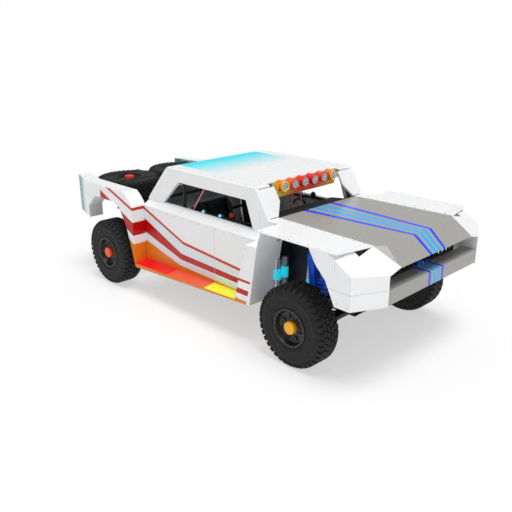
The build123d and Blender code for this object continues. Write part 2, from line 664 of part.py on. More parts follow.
# Dashboard on the firewall
DASH_Y = 720.0
DASH_REAR_X = 720.0
DASH_TOP_Z = 1385.0
DASH_BOTTOM_Z = 1190.0
DASH_TUCK = 60.0
DASH_LIP = 50.0
DASH_RISE = 40.0
with BuildPart() as dash:
    with BuildSketch(side_plane(DASH_Y)):
        Polygon(
            (FIREWALL_X, DASH_BOTTOM_Z + DASH_TUCK),
            (DASH_REAR_X + DASH_TUCK, DASH_BOTTOM_Z),
            (DASH_REAR_X, DASH_TOP_Z - DASH_LIP),
            (DASH_REAR_X + DASH_LIP, DASH_TOP_Z),
            (FIREWALL_X, DASH_TOP_Z + DASH_RISE),
            align=None,
        )
    extrude(amount=2 * DASH_Y)
save(dash.part, "dashboard")

# Steering wheel on its column, in front of the left seat
SEAT_Y = 400.0
WHEEL_X = 470.0
WHEEL_Z = 1210.0
WHEEL_R = 165.0
WHEEL_BAR = 26.0
COLUMN_R = 26.0
with BuildPart() as steering_wheel:
    column_end = Vector(DASH_REAR_X + DASH_LIP, SEAT_Y, (DASH_BOTTOM_Z + DASH_TOP_Z) / 2)
    column = column_end - Vector(WHEEL_X, SEAT_Y, WHEEL_Z)
    wheel_plane = Plane(origin=(WHEEL_X, SEAT_Y, WHEEL_Z), x_dir=(0, 1, 0), z_dir=column)
    with BuildSketch(wheel_plane):
        RegularPolygon(WHEEL_R, ROUND_SIDES)
        RegularPolygon(WHEEL_R - WHEEL_BAR, ROUND_SIDES, mode=Mode.SUBTRACT)
        with PolarLocations((WHEEL_R - WHEEL_BAR / 2) / 2, 3, start_angle=-90):
            Rectangle(WHEEL_R - WHEEL_BAR / 2, WHEEL_BAR)
        RegularPolygon(2 * COLUMN_R, ROUND_SIDES)
    extrude(amount=WHEEL_BAR)
    with BuildSketch(wheel_plane):
        RegularPolygon(COLUMN_R, TUBE_SIDES)
    extrude(until=Until.NEXT, target=dash.part)
save(steering_wheel.part, "steering_wheel")

# Bucket seats standing on the frame rails, with raised sides and a sunk pad
SEAT_W = 500.0
SEAT_FOOT_X = -280.0
SEAT_FRONT_X = 140.0
SEAT_TOP_X = -410.0
SEAT_PAN_Z = 690.0
SEAT_TOP_Z = 1350.0
SEAT_T = 60.0
SEAT_SIDE = 70.0
SEAT_RAISE = 75.0
SEAT_EDGE = 25.0
SEAT_RISE = 50.0
seat_back_line = ((SEAT_FOOT_X + SEAT_T, SEAT_PAN_Z), (SEAT_TOP_X + SEAT_T, SEAT_TOP_Z))
with BuildPart() as seat:
    with BuildSketch(side_plane(SEAT_Y + SEAT_W / 2)):
        Polygon(
            (SEAT_FOOT_X, RAIL_TOP_Z),
            (SEAT_FRONT_X, RAIL_TOP_Z),
            (SEAT_FRONT_X, SEAT_PAN_Z + SEAT_RISE + SEAT_EDGE),
            (seat_back_line[0][0] + SEAT_RAISE, SEAT_PAN_Z + SEAT_RAISE),
            (seat_back_line[1][0] + SEAT_RAISE, SEAT_TOP_Z - SEAT_RAISE),
            (seat_back_line[1][0], SEAT_TOP_Z),
            (SEAT_TOP_X, SEAT_TOP_Z),
            align=None,
        )
    extrude(amount=SEAT_W)
    with BuildSketch(side_plane(SEAT_Y + SEAT_W / 2 - SEAT_SIDE)):
        Polygon(
            (SEAT_FRONT_X, SEAT_PAN_Z + SEAT_RISE),
            seat_back_line[0],
            seat_back_line[1],
            (SEAT_FRONT_X, SEAT_TOP_Z),
            align=None,
        )
    extrude(amount=SEAT_W - 2 * SEAT_SIDE, mode=Mode.SUBTRACT)
    chamfer(seat.edges().filter_by(Axis.Y).group_by(Axis.X)[-1].group_by(Axis.Z)[-1], SEAT_EDGE / 2)
save_pair(seat.part, "seat")

# Lamps across the front of the roof
LAMP_COUNT = 6
LAMP_PITCH = 179.0
LAMP_R = 64.0
LAMP_DROP = 48.0
LAMP_Z = ROOF_Z - LAMP_DROP
LAMP_BEVEL = 24.0
LAMP_REAR_X = 862.0
LAMP_FRONT_X = 1000.0
LENS_T = 14.0
LENS_IN = 9.0
BAR_X = 925.0
BAR_T = 30.0
BAR_H = 61.0
BAR_Z = LAMP_Z - LAMP_R - BAR_H
BAR_Y = 526.0
POST_W = 44.0
with BuildPart() as lamp_housings:
    for rank in range(LAMP_COUNT):
        lamp_y = (rank - (LAMP_COUNT - 1) / 2) * LAMP_PITCH
        with BuildSketch(Plane.YZ.offset(LAMP_REAR_X)):
            with Locations((lamp_y, LAMP_Z)):
                RegularPolygon(LAMP_R, ROUND_SIDES)
        extrude(amount=LAMP_FRONT_X - LAMP_REAR_X)
        chamfer(lamp_housings.faces(Select.LAST).sort_by(Axis.X)[0].edges(), LAMP_BEVEL)
        with BuildSketch(Plane.YZ.offset(LAMP_FRONT_X)):
            with Locations((lamp_y, LAMP_Z)):
                RegularPolygon(LAMP_R - LENS_IN, ROUND_SIDES)
        extrude(amount=-LENS_T, mode=Mode.SUBTRACT)
save(lamp_housings.part, "lamp_housings")
with BuildPart() as lamp_lenses:
    for rank in range(LAMP_COUNT):
        lamp_y = (rank - (LAMP_COUNT - 1) / 2) * LAMP_PITCH
        with BuildSketch(Plane.YZ.offset(LAMP_FRONT_X - LENS_T)):
            with Locations((lamp_y, LAMP_Z)):
                RegularPolygon(LAMP_R - LENS_IN - BEAD_GAP, ROUND_SIDES)
        extrude(amount=LENS_T)
save(lamp_lenses.part, "lamp_lenses")

# Light bar: the strip under the lamps, hung from the roof notch by a plate at each end
with BuildPart() as light_bar:
    with BuildSketch(Plane.YZ.offset(BAR_X)):
        with Locations((0, BAR_Z + BAR_H / 2)):
            Rectangle(2 * BAR_Y, BAR_H)
    extrude(amount=BAR_T)
    for end_y in (BAR_Y, -BAR_Y + FIREWALL_T):
        with BuildSketch(side_plane(end_y)):
            Polygon(
                (BAR_X, BAR_Z),
                (BAR_X + BAR_T, BAR_Z),
                (BAR_X + BAR_T, ROOF_Z - ROOF_EDGE),
                (NOTCH_X, ROOF_Z - ROOF_EDGE),
                (NOTCH_X, ROOF_UNDER_Z),
                (BAR_X, ROOF_UNDER_Z - ROOF_T),
                align=None,
            )
        extrude(amount=FIREWALL_T)
    with BuildSketch(Plane.YZ.offset(BAR_X)):
        with Locations((0, LAMP_Z - LAMP_R)):
            with GridLocations(LAMP_PITCH, 1, LAMP_COUNT, 1):
                Rectangle(POST_W, LAMP_R)
    extrude(amount=BAR_T)
    add(lamp_housings.part, mode=Mode.SUBTRACT)
save(light_bar.part, "light_bar")

# Brace rods: two uprights from dash to roof and a leaning one inside each side window
ROD_R = 9.0
ROD_X = 785.0
ROD_Y = 82.0
LEAN_FOOT_X = -270.0
LEAN_HEAD_X = 90.0
LEAN_LAP = 10.0
dash_slope = DASH_RISE / (FIREWALL_X - DASH_REAR_X - DASH_LIP)
rod_foot_z = DASH_TOP_Z + (ROD_X + ROD_R - DASH_REAR_X - DASH_LIP) * dash_slope
with BuildPart() as brace_rods:
    with BuildSketch(Plane.XY.offset(rod_foot_z)):
        with Locations((ROD_X, ROD_Y)):
            RegularPolygon(ROD_R, TUBE_SIDES)
    extrude(amount=ROOF_UNDER_Z - rod_foot_z)
    lean_y = CAB_INNER_Y - ROD_R - PANEL_GAP
    lean_foot = Vector(LEAN_FOOT_X, lean_y, SHOULDER_Z - LEAN_LAP)
    lean_run = Vector(LEAN_HEAD_X, lean_y, ROOF_UNDER_Z - LEAN_LAP) - lean_foot
    with BuildSketch(Plane(origin=lean_foot, z_dir=lean_run)):
        RegularPolygon(ROD_R, TUBE_SIDES)
    extrude(amount=lean_run.length)
    mirror(about=Plane.XZ)
save(brace_rods.part, "brace_rods")

# Fuel cell under the bed rails
CELL_X = -2270.0
CELL_LENGTH = 460.0
CELL_Y = 430.0
CELL_BOTTOM_Z = 720.0
CELL_TOP_Z = BED_RAIL_Z - TUBE_R
CELL_STRAP = 130.0
with BuildPart() as fuel_cell:
    with BuildSketch(Plane.XY.offset(CELL_BOTTOM_Z)):
        with Locations((CELL_X, 0)):
            Rectangle(CELL_LENGTH, 2 * CELL_Y)
    extrude(amount=CELL_TOP_Z - CELL_BOTTOM_Z)
    chamfer(fuel_cell.edges().filter_by(Axis.Z), TUBE_R)
    with BuildSketch(Plane.XY.offset(CELL_TOP_Z - FLOOR_T)):
        with Locations((CELL_X, 0)):
            Rectangle(CELL_STRAP, 2 * (BED_RAIL_Y + TUBE_R))
    extrude(amount=FLOOR_T)
save(fuel_cell.part, "fuel_cell")

# Spare rack: two flat bars on the bed rails
SPARE_X = -2229.0
SPARE_Y = 474.0
RACK_SPREAD = 250.0
RACK_W = 70.0
RACK_T = 16.0
RACK_Z = BED_RAIL_Z + TUBE_R
RACK_Y = 860.0
with BuildPart() as spare_rack:
    with BuildSketch(Plane.XY.offset(RACK_Z)):
        with Locations((SPARE_X - RACK_SPREAD, 0), (SPARE_X + RACK_SPREAD, 0)):
            Rectangle(RACK_W, 2 * RACK_Y)
    extrude(amount=RACK_T)
save(spare_rack.part, "spare_rack")

# Rear axle: beam with its drive case, a spindle at each end
AXLE_R = 60.0
CASE_R = 175.0
CASE_W = 190.0
AXLE_END = 70.0
SPINDLE_SHORT = 7.0
hub_face_y = REAR_TYRE_Y - DISH_DEPTH - DISC_T - HUB_LENGTH
with BuildPart() as rear_axle:
    axle_plane = Plane(origin=(REAR_AXLE_X, 0, TYRE_R), x_dir=(1, 0, 0), z_dir=(0, 1, 0))
    with BuildSketch(axle_plane):
        RegularPolygon(AXLE_R, ROUND_SIDES)
    extrude(amount=hub_face_y - AXLE_END, both=True)
    with BuildSketch(axle_plane):
        RegularPolygon(CASE_R, ROUND_SIDES)
    extrude(amount=CASE_W, both=True)
    with BuildSketch(axle_plane):
        Circle(SPINDLE_R)
    extrude(amount=hub_face_y + HUB_LENGTH - SPINDLE_SHORT, both=True)
save(rear_axle.part, "rear_axle")

# Drive shaft from the bulkhead to the drive case
SHAFT_LINE_R = 45.0
FLANGE_R = 75.0
FLANGE_T = 25.0
SHAFT_Z = 610.0
with BuildPart() as drive_shaft:
    shaft_start = Vector(CAB_REAR_X, 0, SHAFT_Z)
    shaft_run = Vector(REAR_AXLE_X, 0, TYRE_R) - shaft_start
    with BuildSketch(Plane(origin=shaft_start, x_dir=(0, 1, 0), z_dir=(-1, 0, 0))):
        RegularPolygon(FLANGE_R, ROUND_SIDES)
    extrude(amount=FLANGE_T)
    with BuildSketch(Plane(origin=shaft_start - Vector(FLANGE_T / 2, 0, 0), x_dir=(0, 1, 0), z_dir=shaft_run)):
        RegularPolygon(SHAFT_LINE_R, ROUND_SIDES)
    extrude(until=Until.NEXT, target=rear_axle.part)
save(drive_shaft.part, "drive_shaft")

# Trailing arms from the floor brackets to the axle beam
ARM_H = 70.0
ARM_BOSS_R = 92.0
ARM_NOSE_X = ARM_PIVOT_X + 2 * ARM_PIN_R
with BuildPart() as trailing_arms:
    with BuildSketch(side_plane(ARM_Y + ARM_W / 2)):
        Polygon(
            (ARM_NOSE_X, ARM_PIVOT_Z - ARM_H / 2),
            (ARM_NOSE_X, ARM_PIVOT_Z + ARM_H / 2),
            (REAR_AXLE_X, TYRE_R + ARM_H / 2),
            (REAR_AXLE_X, TYRE_R - ARM_BOSS_R),
            align=None,
        )
        with Locations((REAR_AXLE_X, TYRE_R)):
            RegularPolygon(ARM_BOSS_R, ROUND_SIDES)
            RegularPolygon(AXLE_R + RUN_GAP, ROUND_SIDES, mode=Mode.SUBTRACT)
    extrude(amount=ARM_W)
    mirror(about=Plane.XZ)
save(trailing_arms.part, "trailing_arms")

# Dampers: body, shaft and end eyes between two points; the spring is a separate look
DAMPER_R = 52.0
SHAFT_R = 22.0
EYE_R = 34.0
SHAFT_SHARE = 0.42

# Front arms: a tapered lower and upper arm on each side, bored for the kingpin
KING_Y = 900.0
KING_R = 15.0
KING_BOSS_R = 42.0
LOWER_SPREAD = 230.0
LOWER_OPEN = 0.5
UPPER_SPREAD = 207.0
UPPER_OPEN = 0.72
LOWER_IN_Z = 490.0
LOWER_OUT_Z = 325.0
UPPER_OUT_Z = 632.0
UPPER_IN_Z = 720.0
FRONT_ARM_T = 48.0
KNUCKLE_GAP = 24.0
FRONT_ARM_SIDES = (
    # inner y, inner z, outer z, half spread at the inner pivot, share of the plan cut open
    (RAIL_OUTER_Y, LOWER_IN_Z, LOWER_OUT_Z, LOWER_SPREAD, LOWER_OPEN),
    (BAY_Y, UPPER_IN_Z, UPPER_OUT_Z, UPPER_SPREAD, UPPER_OPEN),
)
arms = []
for inner_y, inner_z, outer_z, spread, open_share in FRONT_ARM_SIDES:
    with BuildPart() as arm:
        with BuildSketch(Plane.YZ.offset(FRONT_AXLE_X - spread)):
            Polygon(
                (inner_y, inner_z - FRONT_ARM_T / 2),
                (inner_y, inner_z + FRONT_ARM_T / 2),
                (KING_Y, outer_z + FRONT_ARM_T / 2),
                (KING_Y, outer_z - FRONT_ARM_T / 2),
                align=None,
            )
        extrude(amount=2 * spread)
        with BuildSketch():
            Polygon(
                (FRONT_AXLE_X - spread, inner_y),
                (FRONT_AXLE_X - KING_BOSS_R, KING_Y),
                (FRONT_AXLE_X + KING_BOSS_R, KING_Y),
                (FRONT_AXLE_X + spread, inner_y),
                align=None,
            )
            Polygon(
                (FRONT_AXLE_X - spread * open_share, inner_y),
                (FRONT_AXLE_X, inner_y + (KING_Y - inner_y) * open_share),
                (FRONT_AXLE_X + spread * open_share, inner_y),
                align=None,
                mode=Mode.SUBTRACT,
            )
        extrude(amount=DECK_Z, mode=Mode.INTERSECT)
        with BuildSketch(Plane.XY.offset(outer_z - FRONT_ARM_T / 2)):
            with Locations((FRONT_AXLE_X, KING_Y)):
                RegularPolygon(KING_BOSS_R, ROUND_SIDES)
        extrude(amount=FRONT_ARM_T)
        with BuildSketch(Plane.XY.offset(outer_z - FRONT_ARM_T)):
            with Locations((FRONT_AXLE_X, KING_Y)):
                Circle(KING_R + RUN_GAP)
        extrude(amount=2 * FRONT_ARM_T, mode=Mode.SUBTRACT)
    arms.append(arm.part)
with BuildPart() as front_arms:
    add(arms)
    mirror(about=Plane.XZ)
save(front_arms.part, "front_arms")

# Knuckle: upright with its kingpin ends and the wheel spindle
KNUCKLE_W = 84.0
KNUCKLE_T = 56.0
front_hub_y = FRONT_TYRE_Y - DISH_DEPTH - DISC_T - HUB_LENGTH
with BuildPart() as knuckle:
    post_bottom = LOWER_OUT_Z + FRONT_ARM_T / 2 + KNUCKLE_GAP
    post_top = UPPER_OUT_Z - FRONT_ARM_T / 2 - KNUCKLE_GAP
    with BuildSketch(Plane.XY.offset(post_bottom)):
        with Locations((FRONT_AXLE_X, KING_Y)):
            Rectangle(KNUCKLE_W, KNUCKLE_T)
    extrude(amount=post_top - post_bottom)
    with BuildSketch(Plane.XY.offset(LOWER_OUT_Z - FRONT_ARM_T / 2)):
        with Locations((FRONT_AXLE_X, KING_Y)):
            Circle(KING_R)
    extrude(amount=UPPER_OUT_Z - LOWER_OUT_Z + FRONT_ARM_T)
    spindle_plane = Plane(origin=(FRONT_AXLE_X, KING_Y, TYRE_R), x_dir=(1, 0, 0), z_dir=(0, 1, 0))
    with BuildSketch(spindle_plane):
        RegularPolygon(AXLE_R, ROUND_SIDES)
    extrude(amount=front_hub_y - KING_Y - AXLE_END)
    with BuildSketch(spindle_plane):
        Circle(SPINDLE_R)
    extrude(amount=front_hub_y + HUB_LENGTH - SPINDLE_SHORT - KING_Y)
save_pair(knuckle.part, "knuckle")

# Dampers front and rear
DAMPER_FOOT_Y = 700.0
lower_share = (DAMPER_FOOT_Y - EYE_R - RAIL_OUTER_Y) / (KING_Y - RAIL_OUTER_Y)
damper_low_z = LOWER_IN_Z + (LOWER_OUT_Z - LOWER_IN_Z) * lower_share + FRONT_ARM_T / 2
REAR_DAMPER_X = -1330.0
REAR_DAMPER_LEAN = 60.0
rear_arm_share = (REAR_DAMPER_X - EYE_R - ARM_NOSE_X) / (REAR_AXLE_X - ARM_NOSE_X)
rear_arm_z = ARM_PIVOT_Z + ARM_H / 2 + rear_arm_share * (TYRE_R - ARM_PIVOT_Z)
DAMPERS = (
    # node, foot, head
    (
        "front_dampers",
        (FRONT_AXLE_X, DAMPER_FOOT_Y, damper_low_z + EYE_R),
        (FRONT_AXLE_X, UPPER_RAIL_Y, UPPER_RAIL_Z - TUBE_R - EYE_R),
    ),
    (
        "rear_dampers",
        (REAR_DAMPER_X, BED_RAIL_Y, rear_arm_z + EYE_R),
        (REAR_DAMPER_X + REAR_DAMPER_LEAN, BED_RAIL_Y, BED_RAIL_Z - TUBE_R - EYE_R),
    ),
)
for damper_name, foot, head in DAMPERS:
    with BuildPart() as dampers:
        stroke = Vector(head) - Vector(foot)
        with BuildSketch(Plane(origin=foot, z_dir=stroke)):
            RegularPolygon(SHAFT_R, TUBE_SIDES)
        extrude(amount=stroke.length)
        barrel_foot = Vector(foot) + stroke * SHAFT_SHARE
        with BuildSketch(Plane(origin=barrel_foot, z_dir=stroke)):
            RegularPolygon(DAMPER_R, ROUND_SIDES)
        extrude(amount=stroke.length * (1 - SHAFT_SHARE) - EYE_R)
        for eye in (foot, head):
            with BuildSketch(side_plane(eye[1] + EYE_R)):
                with Locations((eye[0], eye[2])):
                    RegularPolygon(EYE_R, TUBE_SIDES)
            extrude(amount=2 * EYE_R)
        mirror(about=Plane.XZ)
    save(dampers.part, damper_name)

# Wheels: lugged tyre and dished rim with its hub cap
WHEELS = (
    # name, axle x, outer face y, side
    ("front_left", FRONT_AXLE_X, FRONT_TYRE_Y, 1),
    ("front_right", FRONT_AXLE_X, FRONT_TYRE_Y, -1),
    ("rear_left", REAR_AXLE_X, REAR_TYRE_Y, 1),
    ("rear_right", REAR_AXLE_X, REAR_TYRE_Y, -1),
)
LUG_ROWS = (
    # inner edge from the middle of the tread, direction, turn in degrees
    (LUG_ROW_GAP / 2, 1, 180 / TYRE_FACETS),
    (LUG_ROW_GAP / 2, -1, 180 / TYRE_FACETS + 180 / LUG_COUNT),
)
CARCASS_R = TYRE_R - LUG_HEIGHT
LUG_TOP = (TYRE_R**2 - (LUG_LENGTH / 2) ** 2) ** 0.5
ROW_W = TYRE_W / 2 - SHOULDER_CUT - LUG_ROW_GAP / 2
wheel_places = [
    (name, Plane(origin=(x, side * (outer - TYRE_W), TYRE_R), x_dir=(1, 0, 0), z_dir=(0, side, 0)))
    for name, x, outer, side in WHEELS
]
spare_places = [
    (f"spare_{side}", Plane(origin=(SPARE_X, side * SPARE_Y, RACK_Z + RACK_T), x_dir=(1, 0, 0), z_dir=(0, 0, 1)))
    for side in (1, -1)
]
tyre_groups = [(f"tyre_{name}", [place]) for name, place in wheel_places]
tyre_groups.append(("spare_tyres", [place for name, place in spare_places]))
for tyre_name, places in tyre_groups:
    with BuildPart() as tyre:
        for place in places:
            with BuildSketch(place):
                RegularPolygon(CARCASS_R, TYRE_FACETS)
            extrude(amount=TYRE_W)
            chamfer(tyre.faces(Select.LAST).sort_by(SortBy.AREA)[-2:].edges(), SHOULDER_CUT)
            for row_in, way, turn in LUG_ROWS:
                with BuildSketch(place.offset(TYRE_W / 2 + way * row_in)):
                    with PolarLocations(LUG_TOP - LUG_HEIGHT, LUG_COUNT, start_angle=turn):
                        Rectangle(2 * LUG_HEIGHT, LUG_LENGTH)
                extrude(amount=way * ROW_W)
            with BuildSketch(place):
                RegularPolygon(RIM_R + BEAD_GAP, RIM_FACETS)
            extrude(amount=TYRE_W, mode=Mode.SUBTRACT)
    save(tyre.part, tyre_name)

rim_groups = [(f"rim_{name}", [place], True) for name, place in wheel_places]
rim_groups.append(("spare_rims", [place for name, place in spare_places], False))
for rim_name, places, has_hub in rim_groups:
    with BuildPart() as rim:
        for place in places:
            with BuildSketch(place.offset(RIM_INSET)):
                RegularPolygon(RIM_R, RIM_FACETS)
                RegularPolygon(RIM_R - RIM_WALL, RIM_FACETS, mode=Mode.SUBTRACT)
            extrude(amount=TYRE_W - 2 * RIM_INSET)
            with BuildSketch(place.offset(TYRE_W - DISH_DEPTH - DISC_T)):
                RegularPolygon(RIM_R - RIM_WALL / 2, RIM_FACETS)
            extrude(amount=DISC_T)
            with BuildSketch(place.offset(TYRE_W - DISH_DEPTH)):
                RegularPolygon(CAP_R, ROUND_SIDES)
            extrude(amount=DISH_DEPTH)
            if has_hub:
                with BuildSketch(place.offset(TYRE_W - DISH_DEPTH - DISC_T - HUB_LENGTH)):
                    RegularPolygon(HUB_R, ROUND_SIDES)
                extrude(amount=HUB_LENGTH)
                with BuildSketch(place.offset(TYRE_W - DISH_DEPTH - DISC_T - HUB_LENGTH)):
                    Circle(SPINDLE_R + RUN_GAP)
                extrude(amount=HUB_LENGTH, mode=Mode.SUBTRACT)
    save(rim.part, rim_name)
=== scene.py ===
"""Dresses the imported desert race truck: paint, tyres, springs, cab, lamps and the studio."""

import math

import bmesh
import bpy
from bpy.props import FloatProperty, FloatVectorProperty, IntProperty, PointerProperty
from mathutils import Matrix, Vector


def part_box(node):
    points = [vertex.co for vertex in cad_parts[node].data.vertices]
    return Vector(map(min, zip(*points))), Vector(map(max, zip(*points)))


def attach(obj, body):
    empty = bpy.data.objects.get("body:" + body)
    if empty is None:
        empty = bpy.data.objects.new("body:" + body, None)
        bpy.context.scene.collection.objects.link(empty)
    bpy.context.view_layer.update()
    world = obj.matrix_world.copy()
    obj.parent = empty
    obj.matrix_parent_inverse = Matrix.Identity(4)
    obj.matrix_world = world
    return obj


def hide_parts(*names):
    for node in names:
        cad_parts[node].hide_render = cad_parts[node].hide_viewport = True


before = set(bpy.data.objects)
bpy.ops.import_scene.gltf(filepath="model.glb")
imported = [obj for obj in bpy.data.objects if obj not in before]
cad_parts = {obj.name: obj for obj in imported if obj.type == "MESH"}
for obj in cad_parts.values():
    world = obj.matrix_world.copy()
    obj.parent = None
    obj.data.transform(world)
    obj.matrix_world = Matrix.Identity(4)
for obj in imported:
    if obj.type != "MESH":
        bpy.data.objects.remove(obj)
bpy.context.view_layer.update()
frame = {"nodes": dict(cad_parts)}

bl_info = {
    "name": "Desert race truck",
    "version": (1, 0, 0),
    "blender": (4, 5, 0),
    "location": "View3D > Sidebar > Truck",
    "description": "Builds the looks of a desert race truck around its packed frame",
    "category": "Object",
}

NODES = frame["nodes"]
SIDES = (("left", 1), ("right", -1))
WHEELS = ("front_left", "front_right", "rear_left", "rear_right")
FULL_TURN = 2 * math.pi
TYRE_RADIUS = 0.469
# half width of the hood stripes on bumper and grille
NOSE_STRIPES = 0.150


def srgb(red, green, blue):
    """Linear colour of an 8-bit display colour."""
    shares = (value / 255 for value in (red, green, blue))
    return tuple(s / 12.92 if s <= 0.04045 else ((s + 0.055) / 1.055) ** 2.4 for s in shares)


def colour(name, description, red, green, blue):
    return FloatVectorProperty(
        name=name, description=description, subtype="COLOR", min=0, max=1, default=srgb(red, green, blue)
    )


def amount(name, description, number, unit="NONE"):
    return FloatProperty(name=name, description=description, unit=unit, min=0, default=number)


def length(name, description, metres):
    return amount(name, description, metres, "LENGTH")


def whole(name, description, least, number):
    return IntProperty(name=name, description=description, min=least, default=number)


class TRUCK_PG_paint(bpy.types.PropertyGroup):
    """Colours of the livery and of the coated parts."""

    body: colour("Body", "Paint of the body panels", 247, 248, 249)
    hood: colour("Hood", "Grey of the hood and bumper", 163, 162, 158)
    stripe_outer: colour("Outer stripe", "Outer pair of hood stripes", 0, 74, 255)
    stripe_inner: colour("Inner stripe", "Inner pair of hood stripes", 0, 178, 255)
    band_thin: colour("Thin band", "Narrow upper band on the flank", 205, 52, 0)
    band_red: colour("Red band", "Wide band on the flank", 190, 0, 0)
    band_orange: colour("Orange band", "Lower band on the flank", 232, 130, 0)
    ledge_rear: colour("Ledge rear", "Rear third of the sill ledge", 240, 0, 28)
    ledge_middle: colour("Ledge middle", "Middle of the sill ledge", 245, 86, 46)
    ledge_front: colour("Ledge front", "Front of the sill ledge", 248, 246, 46)
    roof: colour("Roof", "Tint at the rear of the roof", 0, 236, 250)
    # the roof's cyan painted darker for the tail's side faces: real cyan paint with painted shade
    tail: colour("Tail", "Tint at the end of the tail", 0, 146, 156)
    frame: colour("Frame", "Coating of frame, cage and arms", 22, 22, 24)
    damper: colour("Dampers", "Springs and damper bodies", 20, 104, 255)
    rods: colour("Rods", "Thin brace rods", 226, 120, 138)
    cap_front: colour("Front caps", "Hub caps of the front wheels", 255, 180, 16)
    cap_rear: colour("Rear caps", "Hub caps of the rear wheels", 255, 88, 40)
    cap_spare: colour("Spare caps", "Hub caps of the spare wheels", 235, 26, 28)
    lamp_outer: colour("Outer lamps", "Shells of the outer lamps", 255, 128, 0)
    lamp_inner: colour("Inner lamps", "Shells of the inner lamps", 245, 16, 0)
    bar_end: colour("Light bar ends", "Ends of the strip below the lamps", 255, 222, 0)
    seat: colour("Seats", "Seat cloth", 24, 26, 34)
    # also the glow painted on the damper bolts and sight glasses, which are no lamps
    glow: colour("Glow", "Lit switches and screens", 40, 225, 250)


class TRUCK_PG_running(bpy.types.PropertyGroup):
    """Sizes of the running gear that the frame leaves plain."""

    pitches: whole("Tread pitches", "Blocks round each tread row", 12, 38)
    lug_height: length("Lug height", "Height of the tread blocks", 0.017)
    spring_turns: whole("Spring turns", "Turns of each coil spring", 3, 10)
    spring_wire: length("Spring wire", "Radius of the spring wire", 0.0085)
    spring_radius: length("Spring radius", "Radius to the middle of the wire", 0.068)
    bolt: length("Bolt", "Radius of a panel fastener", 0.008)


class TRUCK_PG_studio(bpy.types.PropertyGroup):
    """Camera and light."""

    lens: amount("Lens", "Focal length on a 36 mm sensor, in mm", 44.09)
    eye: FloatVectorProperty(
        name="Eye",
        description="Camera position",
        subtype="XYZ",
        unit="LENGTH",
        default=(5.874, -5.744, 3.479),
    )
    floor: colour("Floor", "Floor and backdrop", 248, 248, 248)
    sky: amount("Sky", "Strength of the even light", 0.46)
    key: amount("Key", "Strength of the key light", 2.0, "POWER")
    fill: amount("Fill", "Strength of the fill light", 25, "POWER")


class Channel:
    """A shader socket that works in Python expressions: 1 - mask adds its own Math node."""

    def __init__(self, finish, socket):
        self.finish, self.socket = finish, socket

    def maths(self, operation, *terms):
        return self.finish.node("ShaderNodeMath", {"operation": operation}, dict(enumerate(terms)))

    def out(self, name):
        return Channel(self.finish, self.socket.node.outputs[name])

    def __add__(self, other):
        return self.maths("ADD", self, other)

    def __sub__(self, other):
        return self.maths("SUBTRACT", self, other)

    def __rsub__(self, other):
        return self.maths("SUBTRACT", other, self)

    def __mul__(self, other):
        return self.maths("MULTIPLY", self, other)

    def __truediv__(self, other):
        return self.maths("DIVIDE", self, other)

    def __gt__(self, other):
        return self.maths("GREATER_THAN", self, other)

    def __lt__(self, other):
        return self.maths("LESS_THAN", self, other)

    def __and__(self, other):
        return self.maths("MINIMUM", self, other)

    def __or__(self, other):
        return self.maths("MAXIMUM", self, other)

    def __abs__(self):
        return self.maths("ABSOLUTE", self)

    __radd__ = __add__

    def ramp(self, low, high):
        """0 below low, 1 above high, straight between."""
        return self.finish.node("ShaderNodeMapRange", {"clamp": True}, {0: self, 1: low, 2: high})

    def between(self, low, high):
        return (self > low) & (self < high)

    def fract(self):
        return self.maths("FRACT", self)


class Finish:
    """One procedural material, or the world's light. Every added node comes from the node method."""

    def __init__(self, name, world=None, **constants):
        self.material = world or bpy.data.materials.new(name)
        self.material.use_nodes = True
        self.tree = self.material.node_tree
        self.surface = self.tree.nodes["Background" if world else "Principled BSDF"]
        for socket, value in constants.items():
            self.set(socket.replace("_", " "), value)

    def set(self, socket, value):
        """Links a channel to the surface shader, or sets a constant on it."""
        target = self.surface.inputs[socket]
        if isinstance(value, Channel):
            self.tree.links.new(value.socket, target)
        elif isinstance(value, (tuple, list)) or hasattr(value, "r"):
            target.default_value = (*tuple(value)[:3], 1)
        else:
            target.default_value = value

    def node(self, kind, settings=None, inputs=None, output=0):
        made = self.tree.nodes.new(kind)
        for key, value in (settings or {}).items():
            setattr(made, key, value)
        for key, value in (inputs or {}).items():
            socket = made.inputs[key]
            if isinstance(value, Channel):
                self.tree.links.new(value.socket, socket)
            elif socket.type == "RGBA":
                socket.default_value = (*tuple(value)[:3], 1)
            else:
                socket.default_value = value
        return Channel(self, made.outputs[output])

    def place(self):
        return self.node("ShaderNodeTexCoord", output="Object")

    def xyz(self, of=None):
        """X, Y and Z of the place on the object, or of another vector."""
        split = self.node("ShaderNodeSeparateXYZ", None, {0: of or self.place()})
        return split, split.out("Y"), split.out("Z")

    def facing(self):
        """The three parts of the surface normal in the object's own frame."""
        return self.xyz(self.node("ShaderNodeTexCoord", output="Normal"))

    def texture(self, kind, scale, settings=None, **inputs):
        inputs = {"Vector": self.place(), "Scale": scale, **inputs}
        return self.node(f"ShaderNodeTex{kind}", settings, inputs)

    def noise(self, scale, detail=3.0, roughness=0.55):
        return self.texture("Noise", scale, Detail=detail, Roughness=roughness)

    def over(self, under, mask, top):
        """Lays the colour top over the colour under where the mask is 1."""
        return self.node("ShaderNodeMix", {"data_type": "RGBA"}, {0: mask, 6: under, 7: top}, output=2)

    def layers(self, base, *layers):
        """Lays colours over a base in turn, each where its mask is 1."""
        for mask, top in layers:
            base = self.over(base, mask, top)
        return base

    def bump(self, height, distance, strength=0.5):
        inputs = {"Height": height, "Distance": distance, "Strength": strength}
        self.set("Normal", self.node("ShaderNodeBump", None, inputs))

    def blend(self, share, other):
        """Shows another shader in place of the surface by a share."""
        own = Channel(self, self.surface.outputs[0])
        end = next(node for node in self.tree.nodes if node.type.startswith("OUTPUT"))
        mixed = self.node("ShaderNodeMixShader", None, {0: share, 1: own, 2: other})
        self.tree.links.new(mixed.socket, end.inputs["Surface"])


